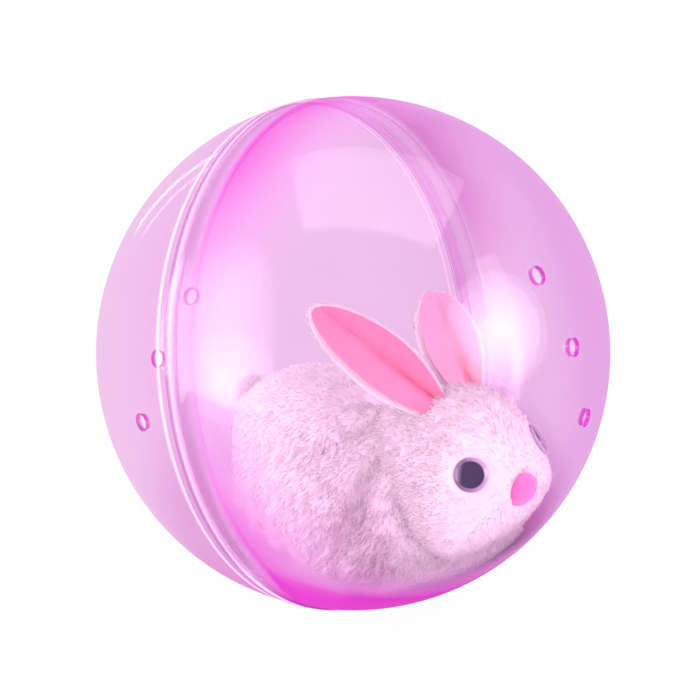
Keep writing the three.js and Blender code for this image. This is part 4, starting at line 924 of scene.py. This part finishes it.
class TOY_OT_ears(bpy.types.Operator):
    """Makes both ears: a plush back with a soft rim, and a folded satin lining"""

    bl_idname = "toy.ears"
    bl_label = "Ears"

    def execute(self, context):
        plush = context.scene.toy_plush
        fur = fur_material("ear_pile", plush)
        cloth = backing_material("ear_backing", plush)
        for number, side in enumerate(EARS):
            back, forward, up = leaf_grid(side, half=7.4, thick=1.2, lift=0, start=0.0, end=1.0)
            piece = capped(f"{side}_ear_back", back)
            finish_piece(piece, cloth, CART, "plush", f"{side}_ear")
            lining, _, _ = leaf_grid(side, half=6.2, thick=0.45, lift=1.5, start=0.02, end=0.98, shift=-0.5)
            inner = capped(f"{side}_ear_satin", lining)
            # the far ear's satin is a paled copy: painted light
            satin = satin_material(f"{side}_ear_satin", plush, 0.3 if side == "left" else 0.0)
            finish_piece(inner, satin, CART, "satin", f"{side}_ear_lining")
            normals = facing_out(back, back.mean(1, keepdims=True))
            behind = (normals @ up < 0.35).astype(float)
            roots, out, _ = scatter(back, normals, EAR_TUFTS, 31 + number, behind)
            lean = along_skin(forward, out)
            hair = tufts(f"{side}_ear_fur", roots, out, lean, length=1.6, width=0.22, seed=41 + number)
            finish_piece(hair, fur, CART, "plush")
        return {"FINISHED"}


class TOY_OT_face(bpy.types.Operator):
    """Makes the nose and the eyes"""

    bl_idname = "toy.face"
    bl_label = "Nose and Eyes"

    def execute(self, context):
        plush = context.scene.toy_plush
        clear = eye_clear_material("eye_clear_cap")
        for side, y in (("right", -1), ("left", 1)):
            centre = HEAD_CENTRE + EYE_PLACE * (1, y, 1)
            place = basis(EYE_FACING * (1, y, 1) / HEAD_HALF, (0, 0, 1), centre)
            inner, outer = (self.arc(*sizes) for sizes in EYE_CAP)
            dome = lathe(f"{side}_eye_cap", np.concatenate([inner[::-1], outer]), place, 64)
            node = f"{side}_eye_dome"
            finish_piece(dome, clear, CART, SLOT_OF[node], node)
            disc = np.concatenate([EYE_DISC_FOOT, self.arc(*EYE_DISC)])
            iris = lathe(f"{side}_eye_iris", disc, place, 64)
            material = iris_material(f"{side}_iris", plush, centre, -y)
            finish_piece(iris, material, CART, "pupil", f"{side}_eye_pupil")
        pad = np.stack(sphere_parts(26, 48, 0.85), -1) * NOSE_HALF
        place = basis(NOSE, (0, 0, 1), unit(NOSE) * NOSE_SEAT)
        nose = capped("nose_pad", pad @ place[:3, :3].T + place[:3, 3])
        finish_piece(nose, flock_material("nose_flock", plush.nose), CART, "nose", "nose_button")
        return {"FINISHED"}

    def arc(self, radius, top, low):
        """A quarter ellipse from the rim to the axis, as profile points."""
        angles = np.linspace(0, np.pi / 2, 24)
        points = np.stack([radius * np.cos(angles), low + (top - low) * np.sin(angles)], -1)
        points[-1, 0] = 0
        return points


class TOY_OT_tail(bpy.types.Operator):
    """Makes the tail: a small tuft"""

    bl_idname = "toy.tail"
    bl_label = "Tail"

    def execute(self, context):
        plush = context.scene.toy_plush
        way = np.stack(sphere_parts(30, 40), -1)
        grid = TAIL_CENTRE + way * (TAIL_RADIUS + noise_waves(way * 6, 8, 7)[..., None] * 0.3)
        form = capped("tail_form", grid)
        finish_piece(form, backing_material("tail_backing", plush), CART, "plush", "tail")
        roots, out, _ = scatter(grid, way, TAIL_TUFTS, 51)
        fur = tufts("tail_fur", roots, out, out, length=1.8, width=0.24, seed=52)
        finish_piece(fur, fur_material("tail_pile", plush), CART, "plush")
        return {"FINISHED"}


class TOY_OT_cart(bpy.types.Operator):
    """Gives the cart's CAD parts their materials"""

    bl_idname = "toy.cart"
    bl_label = "Cart Finishes"

    def execute(self, context):
        plush = context.scene.toy_plush
        finishes = {
            "white_plastic": moulded_plastic("white_moulding", (0.85, 0.83, 0.81)),
            "grey_plastic": moulded_plastic("grey_moulding", (0.26, 0.26, 0.28)),
            "black_plastic": moulded_plastic("black_moulding", (0.02, 0.02, 0.024), 0.38),
            "pink_plastic": moulded_plastic("pink_moulding", (0.78, 0.27, 0.55)),
            "gear_plastic": moulded_plastic("gear_acetal", (0.88, 0.86, 0.76), 0.35),
            "tyre_rubber": moulded_plastic("tyre_rubber", (0.045, 0.045, 0.05), 0.75, 0.3),
            "steel": bare_metal("drawn_steel", (0.55, 0.56, 0.58)),
            "motor_steel": bare_metal("plated_can", (0.6, 0.61, 0.63), 0.24, (1.0, 8.0, 1.0)),
            "brass": bare_metal("brass_strip", (0.72, 0.52, 0.22)),
            "cell": bare_metal("cell_can", (0.42, 0.46, 0.5), 0.3, (10.0, 1.0, 1.0)),
            "black_wire": moulded_plastic("black_insulation", (0.02, 0.02, 0.022), 0.5),
            "red_wire": moulded_plastic("red_insulation", (0.55, 0.03, 0.035), 0.5),
            "eye_clear": moulded_plastic("eye_clear", (0.6, 0.5, 0.6), 0.1),
            "pupil": moulded_plastic("pupil", (0.02, 0.01, 0.04), 0.1),
            "nose": flock_material("nose_flock", (1.0, 0.2, 0.55)),
            "plush": fur_material("plush_plain", plush),
            "satin": satin_material("satin_plain", plush),
        }
        for node, obj in frame["nodes"].items():
            if SLOT_OF[node] in finishes:
                for slot in obj.material_slots:
                    slot.material = finishes[SLOT_OF[node]]
        return {"FINISHED"}


FLOOR = -62.56  # just below the ball, its band included
CAMERA_SHIFT = (-3.2 / 700, 3.3 / 700)
DAYLIGHT = (0.94, 1.0, 0.91)  # evens out what the tinted plastic takes from the lamps' green
LAMPS = (  # name, way (right, up, back), distance, size, watts, shape, only seen mirrored
    ("top_light", (0.13, 0.96, 0.23), 1.2, (1.2, 1.0), 8.6, "RECTANGLE", False),
    ("right_light", (0.93, 0.15, 0.33), 1.2, (1.0, 1.2), 13.0, "RECTANGLE", False),
    ("left_light", (-0.80, 0.05, 0.59), 1.2, (0.9, 1.8), 23.0, "RECTANGLE", False),
    ("top_box", (0.13, 0.96, 0.23), 0.9, (0.9, 0.75), 10.5, "RECTANGLE", True),
    ("side_box", (0.87, 0.35, 0.34), 0.9, (0.2, 0.45), 1.25, "RECTANGLE", True),
    ("limb_strip", (-0.52, 0.40, -0.75), 0.8, (0.045, 0.42), 0.9, "RECTANGLE", True),
)
SOFT_GLARES = (  # name, way, size of the smallest and of the largest of its nested lamps, glow
    ("glare", (0.90, 0.15, 0.40), (0.12, 0.11), (0.8, 0.62), 5.0),
    ("left_glow", (-0.86, 0.05, 0.5), (0.2, 0.6), (0.85, 1.4), 2.4),
    ("band_glow", (-0.99, 0.0, 0.02), (0.03, 0.7), (0.14, 1.3), 4.0),
)
NESTED = 5  # lamps in a soft glare
GLARE_WATTS = 2.47  # watts that give an ellipse a glow of 1, over its two diameters: pi squared / 4


class TOY_OT_stage(bpy.types.Operator):
    """Sets the floor, the white surroundings, the lamps and the camera"""

    bl_idname = "toy.stage"
    bl_label = "Stage"

    def execute(self, context):
        scene, stage = context.scene, context.scene.toy_stage
        a, e = stage.azimuth, stage.elevation
        back = np.array([math.sin(a) * math.cos(e), -math.cos(a) * math.cos(e), math.sin(e)])
        right = np.array([math.cos(a), math.sin(a), 0.0])
        self.axes = right, np.cross(back, right), back
        self.add_camera(scene, stage)
        self.add_surroundings(scene, stage)
        lamps = list(LAMPS)
        for name, way, small, large, glow in SOFT_GLARES:
            for step in range(NESTED):
                shape = [low + (high - low) * step / (NESTED - 1) for low, high in zip(small, large)]
                watts = glow * GLARE_WATTS * shape[0] * shape[1]
                lamps.append((f"{name}_{step}", way, 0.8 + 0.01 * step, shape, watts, "ELLIPSE", True))
        for lamp in lamps:
            self.add_lamp(scene, *lamp)
        scene.view_settings.view_transform = "Standard"
        scene.cycles.transparent_max_bounces = 24
        return {"FINISHED"}

    def add_camera(self, scene, stage):
        """The camera, at the photograph's angle."""
        camera = bpy.data.objects.new("camera", bpy.data.cameras.new("camera"))
        camera.data.lens, camera.data.sensor_width = stage.lens, 36.0
        camera.data.shift_x, camera.data.shift_y = CAMERA_SHIFT
        camera.data.clip_start, camera.data.clip_end = 0.01, 100
        right, _, back = self.axes
        camera.matrix_world = Matrix(basis(back, right, back * stage.distance).tolist())
        scene.collection.objects.link(camera)
        scene.camera = camera

    def add_surroundings(self, scene, stage):
        """A floor and a world that are white to look at, and a plain even light on the object."""
        points = np.array([[-1, -1, 0], [1, -1, 0], [1, 1, 0], [-1, 1, 0]]) * 4000.0 + [0, 0, FLOOR]
        floor = add_object("floor", points, [np.array([[0, 1, 2, 3]])], False)
        s = Shader("pale_floor")
        plain = s.principled(Base_Color=(0.9, 0.9, 0.9), Roughness=0.8)
        white = s.node("ShaderNodeEmission", {}, {"Color": [1.0] * 4, "Strength": 1.0})
        floor.data.materials.append(s.done(s.layered(s.beside_light() * 0.97, plain, white)))
        s = Shader("white_room", bpy.data.worlds.new("white_room"))
        sockets = {"Value": s.beside_light(), "To Min": stage.world, "To Max": 1.0}
        strength = s.node("ShaderNodeMapRange", {}, sockets, "Result")
        room = s.node("ShaderNodeBackground", {}, {"Color": [1.0] * 4, "Strength": strength})
        scene.world = s.done(room, "ShaderNodeOutputWorld")

    def add_lamp(self, scene, name, way, far, shape, watts, form, mirrored):
        """An area lamp that faces the ball: it either lights the object or is only seen mirrored."""
        data = bpy.data.lights.new(name, "AREA")
        data.shape, data.size, data.size_y, data.energy = form, shape[0], shape[1], watts
        lamp = bpy.data.objects.new(name, data)
        lamp.visible_glossy, lamp.visible_diffuse = mirrored, not mirrored
        if not mirrored:
            data.color = DAYLIGHT
        right, up, back = self.axes
        where = (right * way[0] + up * way[1] + back * way[2]) * far
        tall = up if abs(way[1]) < 0.9 else back
        lamp.matrix_world = Matrix(basis(where, np.cross(tall, unit(where)), where).tolist())
        scene.collection.objects.link(lamp)


class TOY_PT_panel(bpy.types.Panel):
    """The toy's settings and its pieces"""

    bl_label = "Rolling Ball Toy"
    bl_space_type = "VIEW_3D"
    bl_region_type = "UI"
    bl_category = "Ball Toy"

    def draw(self, context):
        for name in GROUPS:
            group = getattr(context.scene, name)
            part = self.layout.box()
            for key in group.__annotations__:
                part.prop(group, key)
        for operator in OPERATORS:
            self.layout.operator(operator.bl_idname)


GROUPS = {"toy_ball": BallSettings, "toy_plush": PlushSettings, "toy_stage": StageSettings}
OPERATORS = (
    TOY_OT_stage,
    TOY_OT_front_half,
    TOY_OT_rear_half,
    TOY_OT_body,
    TOY_OT_head,
    TOY_OT_ears,
    TOY_OT_face,
    TOY_OT_tail,
    TOY_OT_cart,
)


def register():
    for cls in (*GROUPS.values(), *OPERATORS, TOY_PT_panel):
        bpy.utils.register_class(cls)
    for name, group in GROUPS.items():
        setattr(bpy.types.Scene, name, PointerProperty(type=group))


def unregister():
    for name in GROUPS:
        delattr(bpy.types.Scene, name)
    for cls in (TOY_PT_panel, *reversed(OPERATORS), *GROUPS.values()):
        bpy.utils.unregister_class(cls)


def main():
    register()
    for operator in OPERATORS:
        group, name = operator.bl_idname.split(".")
        getattr(getattr(bpy.ops, group), name)()


if __name__ == "__main__":
    main()
